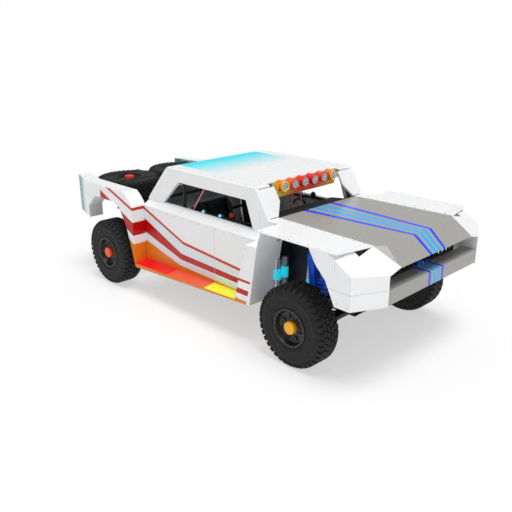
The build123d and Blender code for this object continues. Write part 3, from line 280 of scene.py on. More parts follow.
def turns(steps):
    """Angles of even steps round a full turn."""
    return [FULL_TURN * step / steps for step in range(steps)]


def polar(radius, turn, height=0.0):
    """The point at an angle about the Z axis."""
    return Vector((radius * math.cos(turn), radius * math.sin(turn), height))


class Shape:
    """A mesh in the making, in metres in the truck's frame."""

    def __init__(self):
        self.mesh = bmesh.new()
        self.tone = 0

    def skin(self, rings, loop=False):
        """Joins a row of rings that have the same number of points, and closes the ends."""
        rows = [[self.mesh.verts.new(point) for point in ring] for ring in rings]
        faces = []
        for low, high in zip(rows, rows[1:] + rows[:1] if loop else rows[1:]):
            for a, b, c, d in zip(low, low[1:] + low[:1], high[1:] + high[:1], high):
                faces.append(self.mesh.faces.new((a, b, c, d)))
        if not loop:
            faces += [self.mesh.faces.new(rows[0][::-1]), self.mesh.faces.new(rows[-1])]
        for made in faces:
            made.material_index = self.tone

    def lathe(self, place, profile, steps=40, loop=False):
        """Turns a profile of (radius, height) points about the local Z axis."""
        rings = [[place @ polar(radius, t, height) for t in turns(steps)] for radius, height in profile]
        self.skin(rings, loop)

    def tube(self, points, radius, steps=10, loop=False):
        """Sweeps a round bar along points."""
        points = [Vector(point) for point in points]
        before = (points[-1:] if loop else points[:1]) + points[:-1]
        after = points[1:] + (points[:1] if loop else points[-1:])
        side, rings = None, []
        for here, last, following in zip(points, before, after):
            along = (following - last).normalized()
            side = along.orthogonal() if side is None else side
            side = (side - along * side.dot(along)).normalized()
            up = along.cross(side)
            rings.append([here + (side * math.cos(t) + up * math.sin(t)) * radius for t in turns(steps)])
        self.skin(rings, loop)

    def slab(self, place, outline, height, edge=0.004):
        """Raises an outline in the local XY plane, with chamfered edges."""
        flat = [Vector((*point, 0)) for point in outline]
        centre = sum(flat, Vector()) / len(flat)
        rings = []
        for level, inset in ((0, edge), (edge, 0), (height - edge, 0), (height, edge)):
            rise = Vector((0, 0, level))
            rings.append([place @ (point + (centre - point).normalized() * inset + rise) for point in flat])
        self.skin(rings)

    def box(self, low, high, edge=0.004):
        low, high = Vector(low), Vector(high)
        outline = ((low.x, low.y), (high.x, low.y), (high.x, high.y), (low.x, high.y))
        self.slab(Matrix.Translation((0, 0, low.z)), outline, high.z - low.z, edge)

    def strap(self, route, half_width, across):
        """A flat webbing strap along a route, its width along across."""
        points = [Vector(point) for point in route]
        half_thick = 0.0015
        rings = []
        for here, last, following in zip(points, points[:1] + points[:-1], points[1:] + points[-1:]):
            along = (following - last).normalized()
            wide = (across - along * along.dot(across)).normalized() * half_width
            lift = along.cross(wide).normalized() * half_thick
            rings.append([here + wide + lift, here - wide + lift, here - wide - lift, here + wide - lift])
        self.skin(rings)

    def button(self, place, radius):
        """A panel fastener: washer and domed head."""
        profile = ((1.0, 0), (1.0, 0.18), (0.8, 0.3), (0.62, 0.34), (0.55, 0.55), (0.3, 0.68))
        self.lathe(place, [(radius * r, radius * h) for r, h in profile], steps=10)

    def hex_bolt(self, place, radius):
        washer, flange = radius * 0.25, radius * 1.35
        self.lathe(place, [(flange, 0), (flange, washer)], steps=12)
        self.lathe(place, [(radius, washer), (radius, radius), (radius * 0.8, radius * 1.15)], steps=6)

    def make(self, name, body, *finishes, replaces=(), slot=None, angle=35):
        """Ends the mesh, rides it on a body and gives it its finishes."""
        bmesh.ops.recalc_face_normals(self.mesh, faces=self.mesh.faces)
        mesh = bpy.data.meshes.new(name)
        self.mesh.to_mesh(mesh)
        self.mesh.free()
        mesh.polygons.foreach_set("use_smooth", [True] * len(mesh.polygons))
        mesh.set_sharp_from_angle(angle=math.radians(angle))
        for finish in finishes:
            mesh.materials.append(finish.material)
        return set_down(name, mesh, body, replaces)


def set_down(name, mesh, body, replaces=()):
    """Puts a mesh into the scene as a piece that rides on a body."""
    piece = bpy.data.objects.new(name, mesh)
    bpy.context.scene.collection.objects.link(piece)
    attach(piece, body)
    if replaces:
        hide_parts(*replaces)
    return piece


def toward(origin, axis):
    """A placement whose local Z axis points along axis."""
    return Matrix.Translation(origin) @ Vector(axis).to_track_quat("Z", "Y").to_matrix().to_4x4()


def turned(place, angle, shift):
    """A placement turned about its own Z axis and then shifted."""
    return place @ Matrix.Rotation(angle, 4, "Z") @ Matrix.Translation(shift)


def coat(nodes, finish, edge=0.0):
    """Gives CAD nodes their finish, with softened edges where edge is set."""
    for node in nodes:
        if node not in NODES:
            raise RuntimeError(f"the frame has no node {node}")
        piece = NODES[node]
        piece.data.materials.clear()
        piece.data.materials.append(finish.material)
        if edge:
            piece.modifiers.new("weld", "WELD").merge_threshold = 1e-5
            bevel = piece.modifiers.new("edge", "BEVEL")
            bevel.width, bevel.segments, bevel.limit_method = edge, 2, "ANGLE"
            bevel.angle_limit = math.radians(24)
            piece.modifiers.new("normals", "WEIGHTED_NORMAL").keep_sharp = True


def both(stem):
    return [f"{stem}_{side}" for side, _ in SIDES]


def paint():
    return bpy.context.scene.truck_paint


def running():
    return bpy.context.scene.truck_running


def dusty_gloss(finish, base, dust=0.12):
    """Clear-coated paint with faint dust towards the ground and a fine peel in the coat."""
    z = finish.xyz()[2]
    haze = finish.noise(2.4, 5.0).ramp(0.42, 0.72) * (1 - z.ramp(0.4, 1.3)) * dust
    finish.set("Base Color", finish.over(base, haze, srgb(196, 180, 156)))
    finish.set("Roughness", finish.noise(9.0).ramp(0.3, 0.8) * 0.10 + haze + 0.26)
    finish.set("Specular IOR Level", 0.3)
    finish.set("Coat Weight", 0.12)
    finish.set("Coat Roughness", 0.12)
    finish.bump(finish.noise(38.0, 1.0), 0.0003, 0.1)
    return finish


def bent_line(x, kink, rear_slope, front_slope):
    """Height of a flank band's edge: steep behind the kink and nearly level ahead of it."""
    at_x, at_z = kink
    return ((x - at_x) * -rear_slope + at_z) | ((x - at_x) * -front_slope + at_z)


def seam(coordinate, at, width=0.004):
    """1 along a thin panel joint."""
    return abs(coordinate - at) < width / 2


def flank_paint():
    """White flank with the thin, red and orange bands that drop from the bed to the sill."""
    colours = paint()
    finish = Finish("flank_paint")
    x, _, z = finish.xyz()
    thin_top = bent_line(x, (-0.300, 0.8975), 0.368, 0.074)
    red_top = bent_line(x, (-0.347, 0.720), 0.405, 0.031)
    red_low = bent_line(x, (-0.352, 0.635), 0.270, 0.018)
    orange_top = bent_line(x, (-0.400, 0.551), 0.245, 0.026)
    ahead = x < 0.872 + (z - 0.508) * 0.247
    base = finish.layers(
        colours.body,
        (z.between(orange_top, thin_top), srgb(228, 240, 245)),
        (z.between(thin_top - 0.038, thin_top) & (x < 0.80), colours.band_thin),
        (z.between(red_low, red_top) & ahead, colours.band_red),
        ((z < orange_top) & ahead, colours.band_orange),
        (seam(x, 0.315, 0.006) & (z < 1.225), srgb(206, 208, 210)),
    )
    return dusty_gloss(finish, base)


def block_paint():
    """Front block and sill ledge: band ends on the block, three colours along the ledge."""
    colours = paint()
    finish = Finish("ledge_paint")
    x, y, z = finish.xyz()
    nx, _, nz = finish.facing()
    near = x < 1.082 + (z - 0.508) * 0.247
    slant = (abs(y) - 0.978) * 0.12
    ledge = finish.layers(
        colours.ledge_rear,
        (x > slant - 0.437, colours.ledge_middle),
        (x > slant + 0.305, colours.ledge_front),
    )
    sill = (x < 0.94) & (z < 0.545)
    base = finish.layers(
        colours.body,
        (near & z.between(0.775, 0.808), colours.band_thin),
        (near & z.between(0.618, 0.685), colours.band_red),
        (near & (z < 0.548), colours.band_orange),
        (sill & (nz > 0.3), ledge),
        (sill & (nz < 0.3), colours.band_orange),
        ((z < 0.526) & (nx > 0.5), colours.ledge_front),
    )
    return dusty_gloss(finish, base)


def bed_paint():
    """Bedside with the bands that climb to the tail, plain on the step, and at the end the roof's cyan
    painted darker as shade.
    """
    colours = paint()
    finish = Finish("bed_paint")
    x, y, z = finish.xyz()
    _, ny, nz = finish.facing()
    back = (x + 1.149) * -1
    thin_top = back * 0.36 + 1.222
    red_top, red_low = back * 0.43 + 1.013, back * 0.466 + 0.826
    orange_top = back * 0.47 + 0.705
    shown = (abs(y) > 0.975) & (x > -2.10)
    # cyan at the tail's end on side-facing faces, darkened: painted shade on real cyan paint
    tail = (x * -1).ramp(2.44, 2.68) & (abs(ny) > 0.3)
    joint = seam(z, 1.232, 0.006) | seam(z, 1.046, 0.006)
    base = finish.layers(
        colours.body,
        (z.between(thin_top - 0.042, thin_top) & shown & (nz < 0.6), colours.band_thin),
        (z.between(red_low, red_top) & shown & (x > -1.93), colours.band_red),
        ((z < orange_top) & shown, colours.band_orange),
        (tail, colours.tail),
        (joint & (x < -2.28), srgb(222, 226, 228)),
    )
    return dusty_gloss(finish, base)


def plain_paint():
    """White panels with thin joints: corner seam, deck seam and pillar seam."""
    finish = Finish("panel_paint")
    x, _, z = finish.xyz()
    joint = (seam(z, 1.105) & (x > 2.2)) | (seam(x, 2.401) & (z > 1.3)) | (seam(x, 1.02) & (z < 1.46))
    return dusty_gloss(finish, finish.over(paint().body, joint, srgb(196, 199, 202)))


def roof_paint():
    """Roof that fades from cyan at the rear to white."""
    colours = paint()
    finish = Finish("roof_paint")
    x, y, _ = finish.xyz()
    across, edge = abs(y), 0.704
    fade = (1 - x.ramp(-0.56, 0.12)) & (across < edge)
    joint = seam(across, edge, 0.005)
    base = finish.layers(colours.body, (fade, colours.roof), (joint, srgb(214, 218, 220)))
    return dusty_gloss(finish, base)


def hood_paint(name, half_width):
    """Grey with a dark outer and a light inner pair of stripes; half_width(x) is their reach."""
    colours = paint()
    finish = Finish(name)
    x, y, _ = finish.xyz()
    share = abs(y) / half_width(x)
    joint = seam(abs(y), 0.405, 0.003) | seam(x, 1.66, 0.003) | seam(x, 2.12, 0.003)
    base = finish.layers(
        colours.hood,
        (share.between(0.73, 1.0), colours.stripe_outer),
        (share.between(0.11, 0.40), colours.stripe_inner),
        (joint, srgb(146, 145, 142)),
    )
    return dusty_gloss(finish, base, 0.08)


def grille_black():
    """Black slats on which the hood stripes run on."""
    colours = paint()
    finish = Finish("grille_black", Roughness=0.5)
    share = abs(finish.xyz()[1]) / NOSE_STRIPES
    outer, inner = share.between(0.75, 1.0), share.between(0.10, 0.38)
    black = srgb(16, 16, 17)
    striped = finish.layers(black, (outer, colours.stripe_outer), (inner, colours.stripe_inner))
    finish.set("Base Color", striped)
    finish.bump(finish.noise(300.0, 2.0), 0.0005, 0.3)
    return finish


def coated(name, tint, roughness=0.42, grain=700.0, metallic=0.0):
    """Powder coat or cast skin: fine grain, worn a little lighter in patches."""
    finish = Finish(name, Metallic=metallic)
    worn = finish.noise(6.0, 6.0, 0.65).ramp(0.5, 0.85) * 0.22
    lighter = tuple(min(1.0, channel * 1.6 + 0.03) for channel in tint)
    finish.set("Base Color", finish.over(tint, worn, lighter))
    finish.set("Roughness", finish.noise(14.0).ramp(0.2, 0.9) * 0.18 + roughness)
    finish.bump(finish.noise(grain, 2.0), 0.0004, 0.35)
    return finish


def tyre_rubber():
    """Matte rubber, dusty in the grooves."""
    finish = Finish("tyre_rubber")
    dust = finish.noise(11.0, 5.0).ramp(0.45, 0.8) * 0.14
    finish.set("Base Color", finish.over(srgb(15, 15, 16), dust, srgb(70, 66, 60)))
    finish.set("Roughness", finish.noise(30.0).ramp(0.2, 0.9) * 0.2 + 0.68)
    finish.bump(finish.noise(260.0, 3.0), 0.0008, 0.4)
    return finish


def bare_metal(name, tint=(0.62, 0.62, 0.63), roughness=0.3):
    finish = Finish(name, Metallic=1.0)
    brushed = finish.noise(60.0, 4.0).ramp(0.2, 0.8)
    finish.set("Base Color", finish.over(tint, brushed * 0.25, tuple(0.75 * t for t in tint)))
    finish.set("Roughness", brushed * 0.16 + roughness)
    return finish


def glowing(name, tint, strength):
    """A lit surface with a darker cell pattern."""
    finish = Finish(name, Roughness=0.25)
    cells = finish.texture("Voronoi", 90.0).ramp(0.1, 0.7)
    dim = tuple(0.35 * channel for channel in tint)
    lit = finish.over(tint, cells * 0.5, dim)
    finish.set("Base Color", lit)
    finish.set("Emission Color", lit)
    finish.set("Emission Strength", strength)
    return finish


def seat_cloth():
    """Woven seat cloth."""
    finish = Finish("seat_cloth")
    weave = [finish.texture("Wave", 160.0, {"bands_direction": axis}) for axis in ("Y", "Z")]
    threads = weave[0] * 0.5 + weave[1] * 0.5
    tint = paint().seat
    raised = tuple(1.9 * channel + 0.01 for channel in tint)
    finish.set("Base Color", finish.over(tint, threads * 0.5, raised))
    finish.set("Roughness", threads * 0.1 + 0.82)
    finish.bump(threads, 0.0012, 0.6)
    return finish


def webbing(name, tint):
    finish = Finish(name, Roughness=0.8)
    ribs = finish.texture("Wave", 220.0, {"bands_direction": "DIAGONAL"})
    finish.set("Base Color", finish.over(tint, ribs * 0.4, tuple(0.6 * channel for channel in tint)))
    finish.bump(ribs, 0.0008, 0.5)
    return finish


class TRUCK_OT_body(bpy.types.Operator):
    """Paint the body panels and set their fasteners"""

    bl_idname = "truck.body"
    bl_label = "Body paint"

    def execute(self, context):
        edge = 0.005
        coat(both("side_panel"), flank_paint(), edge)
        coat(both("rocker"), block_paint(), edge)
        coat(both("bedside"), bed_paint(), edge)
        coat(both("fender") + both("cab_side"), plain_paint(), edge)
        coat(["roof"], roof_paint())
        # X and the stripes' half width at the hood's rear edge, its fold and the nose
        (rear_x, rear), (fold_x, fold), (nose_x, nose) = (1.147, 0.286), (2.585, 0.176), (2.791, 0.156)
        taper, drop = (rear - fold) / (fold_x - rear_x), (fold - nose) / (nose_x - fold_x)

        def reach(x):
            return (rear - (x - rear_x) * taper) & (fold - (x - fold_x) * drop)

        coat(["hood"], hood_paint("hood_paint", reach), 0.002)
        coat(["front_bumper"], hood_paint("bumper_paint", lambda x: NOSE_STRIPES))
        coat(["grille"], grille_black())
        self.fasteners()
        return {"FINISHED"}

    def fasteners(self):
        """Rows of quarter-turn buttons along the panel edges."""
        up, radius = Vector((0, 0, 1)), running().bolt
        roof_z, deck_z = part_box("roof")[1].z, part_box("fender_left")[1].z
        bed_z, hood_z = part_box("bedside_left")[1].z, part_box("hood")[1].z
        rows = []
        for _, side in SIDES:
            panel = Vector((0, side, 0))
            # start, end, count, outward direction
            rows += [
                ((-0.64, side * 0.84, roof_z), (0.88, side * 0.84, roof_z), 12, up),
                ((1.38, side * 1.225, deck_z), (2.30, side * 1.225, deck_z), 8, up),
                ((1.20, side * 0.745, deck_z), (2.40, side * 0.795, deck_z), 10, up),
                ((-1.42, side * 1.145, bed_z), (-2.20, side * 1.145, bed_z), 7, up),
                ((-1.42, side * 0.985, bed_z), (-2.20, side * 0.985, bed_z), 7, up),
                ((1.20, side * 0.66, hood_z), (2.44, side * 0.70, hood_z), 6, up),
                ((-1.10, side * 0.978, 1.205), (0.98, side * 0.978, 1.205), 14, panel),
                ((0.93, side * 1.177, 0.56), (1.075, side * 1.177, 1.19), 6, panel),
                ((2.44, side * 1.253, 0.97), (2.57, side * 1.253, 0.97), 2, panel),
            ]
        buttons = Shape()
        for start, end, count, out in rows:
            for rank in range(count):
                buttons.button(toward(Vector(start).lerp(Vector(end), rank / (count - 1)), out), radius)
        buttons.make("panel_fasteners", "chassis", bare_metal("fastener_steel"))


def wheel_place(wheel):
    """Placement at the wheel's middle whose Z axis points out of the truck."""
    low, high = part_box(f"tyre_{wheel}")
    side = 1 if wheel.endswith("left") else -1
    return Matrix.Translation((low + high) / 2) @ Matrix.Rotation(-side * math.pi / 2, 4, "X")


def spare_middle():
    """Middle and radius of the left spare wheel, which lies flat."""
    low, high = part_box("spare_tyres")
    radius = (high.x - low.x) / 2
    return Vector(((low.x + high.x) / 2, high.y - radius, (low.z + high.z) / 2)), radius


class TRUCK_OT_wheels(bpy.types.Operator):
    """Build tyres with tread blocks, and rims with bead rings and hub caps"""

    bl_idname = "truck.wheels"
    bl_label = "Wheels"

    def execute(self, context):
        colours = paint()
        rubber = tyre_rubber()
        enamel = coated("rim_enamel", srgb(14, 15, 17), 0.34)
        steel = bare_metal("rim_bolts", (0.16, 0.16, 0.17))
        tints = {"front": colours.cap_front, "rear": colours.cap_rear, "spare": colours.cap_spare}
        caps = {axle: coated(f"{axle}_cap", tint, 0.35) for axle, tint in tints.items()}
        for wheel in WHEELS:
            coats = enamel, steel, caps[wheel.split("_")[0]]
            nodes = f"tyre_{wheel}", f"rim_{wheel}"
            self.wheel(wheel, [wheel_place(wheel)], f"wheel_{wheel}", nodes, rubber, coats)
        middle, _ = spare_middle()
        spares = [Matrix.Translation((middle.x, side * middle.y, middle.z)) for _, side in SIDES]
        nodes = "spare_tyres", "spare_rims"
        self.wheel("spare", spares, "chassis", nodes, rubber, (enamel, steel, caps["spare"]))
        return {"FINISHED"}

    def wheel(self, name, places, body, nodes, rubber, coats):
        """One tyre and one rim for each place, in two pieces that replace the CAD nodes."""
        tyre, rim = Shape(), Shape()
        for place in places:
            self.carcass(tyre, place)
            self.tread(tyre, place)
            self.rim(rim, place)
            rim.tone = 1
            self.bead_bolts(rim, place)
            rim.tone = 2
            self.cap(rim, place)
            rim.tone = 0
        tyre.make(f"tyre_{name}_rubber", body, rubber, replaces=nodes[:1], slot="tyre_rubber", angle=28)
        rim.make(f"rim_{name}_dish", body, *coats, replaces=nodes[1:], slot="rim_black")

    def carcass(self, tyre, place):
        """Bead, bulging side wall with ribs, and the base of the tread, as one closed turn."""
        lug = running().lug_height
        half = (
            (0.222, 0.128), (0.232, 0.139), (0.262, 0.146), (0.268, 0.1495), (0.282, 0.1495),
            (0.288, 0.147), (0.330, 0.1505), (0.352, 0.1515), (0.356, 0.1530), (0.366, 0.1530),
            (0.372, 0.1500), (0.402, 0.146), (0.425, 0.138), (0.440, 0.124), (0.4515, 0.100),
            (TYRE_RADIUS - lug, 0.05),
        )
        tyre.lathe(place, half + tuple((r, -h) for r, h in reversed(half)), steps=96, loop=True)

    def tread(self, tyre, place):
        """Three rows of blocks on each side, staggered, with lugs down the shoulder."""
        pitches, lug = running().pitches, running().lug_height
        step = FULL_TURN / pitches
        # inner and outer offset from the middle, share of the pitch, start within the pitch, skew
        rows = (
            (0.004, 0.052, 0.84, 0.00, 0.5),
            (0.058, 0.104, 0.82, 0.45, 0.35),
            (0.108, 0.1460, 0.70, 0.30, 0.1),
        )
        for pitch in range(pitches):
            for side in (1, -1):
                for rank, (inner, edge, share, start, skew) in enumerate(rows):
                    first = (pitch + start + (0.5 if side < 0 else 0)) * step
                    drop = 0.020 if rank == 2 else 0.0
                    corners = []
                    for turn, offset in ((0, inner), (share, inner), (share, edge), (0, edge)):
                        lean = skew * (offset - inner) / 0.05 * step * 0.5
                        fall = drop if offset == edge else 0.0
                        corners.append((first + turn * step + lean, side * offset, fall))
                    self.block(tyre, place, corners, lug, side)

    def block(self, tyre, place, corners, lug, side):
        """A tread block: turn, offset and drop of each corner, raised from the carcass."""
        centre_turn = sum(turn for turn, _, _ in corners) / 4
        centre_offset = sum(offset for _, offset, _ in corners) / 4
        rings = []
        for depth, inset in ((lug + 0.012, 0.0), (0.005, 0.0), (0, 0.10)):
            ring = []
            for turn, offset, drop in corners:
                turn += (centre_turn - turn) * inset
                offset += (centre_offset - offset) * inset
                ring.append(place @ polar(TYRE_RADIUS - depth - drop, turn, offset))
            rings.append(ring if side > 0 else ring[::-1])
        tyre.skin(rings)

    def rim(self, rim, place):
        """Barrel, bead ring and dished centre as one turn, and the hub behind it."""
        profile = (
            (0.221, -0.144), (0.221, 0.126), (0.226, 0.142), (0.220, 0.150), (0.198, 0.150), (0.194, 0.144),
            (0.190, 0.118), (0.178, 0.096), (0.150, 0.084), (0.108, 0.080), (0.098, 0.086), (0.060, 0.086),
            (0.060, 0.060), (0.170, 0.058), (0.206, 0.052), (0.208, -0.134), (0.214, -0.146),
        )
        rim.lathe(place, profile, steps=72, loop=True)
        hub = ((0.034, -0.028), (0.078, -0.028), (0.078, 0.060), (0.034, 0.060))
        rim.lathe(place, hub, steps=40, loop=True)
        outline = ((0.104, -0.014), (0.176, -0.020), (0.176, 0.020), (0.104, 0.014))
        for angle in turns(8):
            rim.slab(turned(place, angle + math.pi / 8, (0, 0, 0.078)), outline, 0.016, 0.005)

    def bead_bolts(self, rim, place):
        for count, radius, height, size in ((24, 0.209, 0.149, 0.0052), (8, 0.091, 0.085, 0.009)):
            for angle in turns(count):
                rim.hex_bolt(turned(place, angle, (radius, 0, height)), size)

    def cap(self, rim, place):
        profile = (
            (0.058, 0.084), (0.070, 0.086), (0.074, 0.092), (0.074, 0.136),
            (0.069, 0.1475), (0.060, 0.1525), (0.020, 0.1525),
        )
        rim.lathe(place, profile, steps=32)


DAMPERS = (
    # name, foot, head on the left side
    ("front", (1.795, 0.700, 0.462), (1.795, 0.560, 1.342)),
    ("rear", (-1.330, 0.540, 0.488), (-1.270, 0.540, 0.992)),
)


class TRUCK_OT_suspension(bpy.types.Operator):
    """Coat the frame and build springs, reservoirs, brackets and brakes"""

    bl_idname = "truck.suspension"
    bl_label = "Frame and suspension"

    def execute(self, context):
        colours = paint()
        black = coated("frame_coat", colours.frame)
        tubes = [
            "frame_rails", "nose_frame", "bed_frame", "roll_cage", "spare_rack",
            "trailing_arms", "rear_axle", "front_arms", "drive_shaft",
        ]
        coat(tubes, black, 0.003)
        sheets = ["bay_panels", "floor_pan", "firewall", "fuel_cell"]
        coat(sheets, coated("sheet_coat", srgb(30, 30, 32), 0.5))
        coat(["engine"], coated("engine_cast", srgb(120, 121, 124), 0.45, 240.0, 0.8))
        coat(both("knuckle"), bare_metal("knuckle_alloy", (0.5, 0.5, 0.52)), 0.002)
        blue = coated("damper_coat", colours.damper, 0.3)
        coat(["front_dampers", "rear_dampers"], blue)
        alloy = bare_metal("bracket_alloy", (0.66, 0.66, 0.67))
        # anodised cyan of the bolts and sight glasses, with a glow though they are no lamps: painted light
        glow = glowing("anodised_painted_glow", colours.glow, 0.6)
        springs, brackets = Shape(), Shape()
        for name, foot, head in DAMPERS:
            for _, side in SIDES:
                low, high = (Vector((p[0], side * p[1], p[2])) for p in (foot, head))
                self.spring(springs, low, high)
                if name == "front":
                    self.bracket(brackets, low, high, side)
        for _, side in SIDES:
            self.second_damper(springs, brackets, side)
        springs.make("coil_springs", "chassis", blue, slot="damper_blue")
        brackets.make("damper_brackets", "chassis", alloy, glow, slot="knuckle_metal")
        self.reservoirs(alloy, glow)
        self.brakes()
        return {"FINISHED"}

    def spring(self, shape, low, high):
        """A coil between two collars on the damper."""
        sizes = running()
        place = toward(low, high - low)
        start, end = 0.16 * (high - low).length, 0.66 * (high - low).length
        steps_round = 16
        steps = sizes.spring_turns * steps_round
        points = []
        for step in range(steps + 1):
            rise = start + (end - start) * step / steps
            points.append(place @ polar(sizes.spring_radius, FULL_TURN * step / steps_round, rise))
        shape.tube(points, sizes.spring_wire, 8)
        collar = ((0.020, 0), (0.078, 0), (0.082, 0.004), (0.082, 0.012), (0.020, 0.016))
        for level in (start - 0.012, end - 0.004):
            shape.lathe(place, [(radius, level + rise) for radius, rise in collar], 28)

    def bracket(self, shape, low, high, side):
        """Two tapered plates that hold the damper's head, with cyan bolts that glow as painted light."""
        for gap in (-0.075, 0.075):
            corner = (low.x + gap - 0.005, high.y, high.z)
            place = Matrix.Translation(corner) @ Matrix.Rotation(math.pi / 2, 4, "Y")
            middle, tip = side * 0.085, side * 0.11
            outline = (
                (-0.03, -0.05), (-0.03, 0.05), (0.10, middle + 0.03),
                (0.34, tip + 0.025), (0.34, tip - 0.025), (0.10, middle - 0.05),
            )
            shape.slab(place, outline, 0.010, 0.003)
        shape.tone = 1
        for drop, out in ((0.02, 0.0), (0.14, 0.085), (0.30, 0.11)):
            spot = Vector((low.x + 0.081, high.y + side * out, high.z - drop))
            shape.hex_bolt(toward(spot, (1, 0, 0)), 0.014)
        shape.tone = 0

    def second_damper(self, springs, brackets, side):
        """The tube damper behind the coil damper, on a stand-off plate with cyan bolts that glow as painted
        light.
        """
        foot, head = Vector((1.665, side * 0.640, 0.455)), Vector((1.548, side * 0.600, 1.130))
        place, run = toward(foot, head - foot), (head - foot).length
        # radius, share of the length
        outline = (
            (0.018, 0), (0.018, 0.32), (0.040, 0.33), (0.044, 0.35),
            (0.044, 0.94), (0.036, 0.96), (0.020, 1),
        )
        springs.lathe(place, [(radius, share * run) for radius, share in outline], 24)
        for turn in (0.4, 1.4, 2.4):
            bypass = [place @ polar(0.054, turn, share * run) for share in (0.40, 0.65, 0.88)]
            springs.tube(bypass, 0.011, 10)
        plate = Matrix.Translation((0, side * 0.560 + 0.006, 0)) @ Matrix.Rotation(math.pi / 2, 4, "X")
        brackets.slab(plate, ((1.455, 0.700), (1.515, 0.690), (1.600, 1.150), (1.500, 1.165)), 0.012, 0.003)
        # stand-offs: X from and to, Z from and to, reach in Y
        for x, to_x, z, to_z, reach in ((1.49, 1.51, 0.75, 0.80, 0.56), (1.53, 1.57, 1.10, 1.14, 0.60)):
            y, to_y = sorted((side * 0.505, side * reach))
            brackets.box((x, y, z), (to_x, to_y, to_z))
        brackets.tone = 1
        for x, z in ((1.490, 0.745), (1.505, 0.86), (1.522, 0.97), (1.545, 1.115)):
            brackets.hex_bolt(toward((x, side * 0.566, z), (0, side, 0)), 0.015)
        brackets.tone = 0

    def reservoirs(self, alloy, glow):
        """Remote canisters on the firewall, with a sight glass that glows as painted light."""
        can = (
            (0.030, 0), (0.046, 0.004), (0.050, 0.012), (0.050, 0.05), (0.047, 0.055),
            (0.047, 0.30), (0.050, 0.305), (0.050, 0.36), (0.040, 0.37), (0.018, 0.374),
        )
        sight = ((0.0478, 0.11), (0.0485, 0.112), (0.0485, 0.24), (0.0478, 0.242))
        canisters = Shape()
        for _, side in SIDES:
            for y in (0.655, 0.775):
                place = Matrix.Translation((1.195, side * y, 0.64))
                canisters.lathe(place, can, 28)
                canisters.tone = 1
                canisters.lathe(place, sight, 28, loop=True)
                canisters.tone = 0
                for level in (0.72, 0.92):
                    low, high = (1.139, side * y - 0.055, level), (1.20, side * y + 0.055, level + 0.022)
                    canisters.box(low, high, 0.003)
        canisters.make("reservoirs", "chassis", alloy, glow)

    def brakes(self):
        """Vented discs that turn with the wheels and calipers that do not."""
        disc_steel = bare_metal("disc_steel", (0.5, 0.5, 0.5), 0.35)
        red = coated("caliper_coat", srgb(170, 20, 16), 0.35)
        face = (
            (0.070, -0.092), (0.175, -0.092), (0.177, -0.088),
            (0.177, -0.068), (0.175, -0.064), (0.070, -0.064),
        )
        bell = ((0.062, -0.070), (0.082, -0.070), (0.082, -0.028), (0.062, -0.028))
        arcs = ((0.120, (-24, -8, 8, 24)), (0.192, (24, 8, -8, -24)))
        shoe = [polar(radius, math.radians(angle)).xy for radius, angles in arcs for angle in angles]
        bridge = ((0.180, -0.07), (0.196, -0.06), (0.196, 0.06), (0.180, 0.07))
        for wheel in WHEELS:
            axle, side = wheel.split("_")
            place = wheel_place(wheel)
            disc = Shape()
            disc.lathe(place, face, 48, loop=True)
            disc.lathe(place, bell, 32, loop=True)
            disc.make(f"brake_disc_{wheel}", f"wheel_{wheel}", disc_steel)
            caliper = Shape()
            angle = math.pi if axle == "front" else 0
            for level in (-0.118, -0.060):
                caliper.slab(turned(place, angle, (0, 0, level)), shoe, 0.022)
            caliper.slab(turned(place, angle, (0, 0, -0.118)), bridge, 0.080, 0.003)
            caliper.make(f"caliper_{wheel}", f"knuckle_{side}" if axle == "front" else "chassis", red)


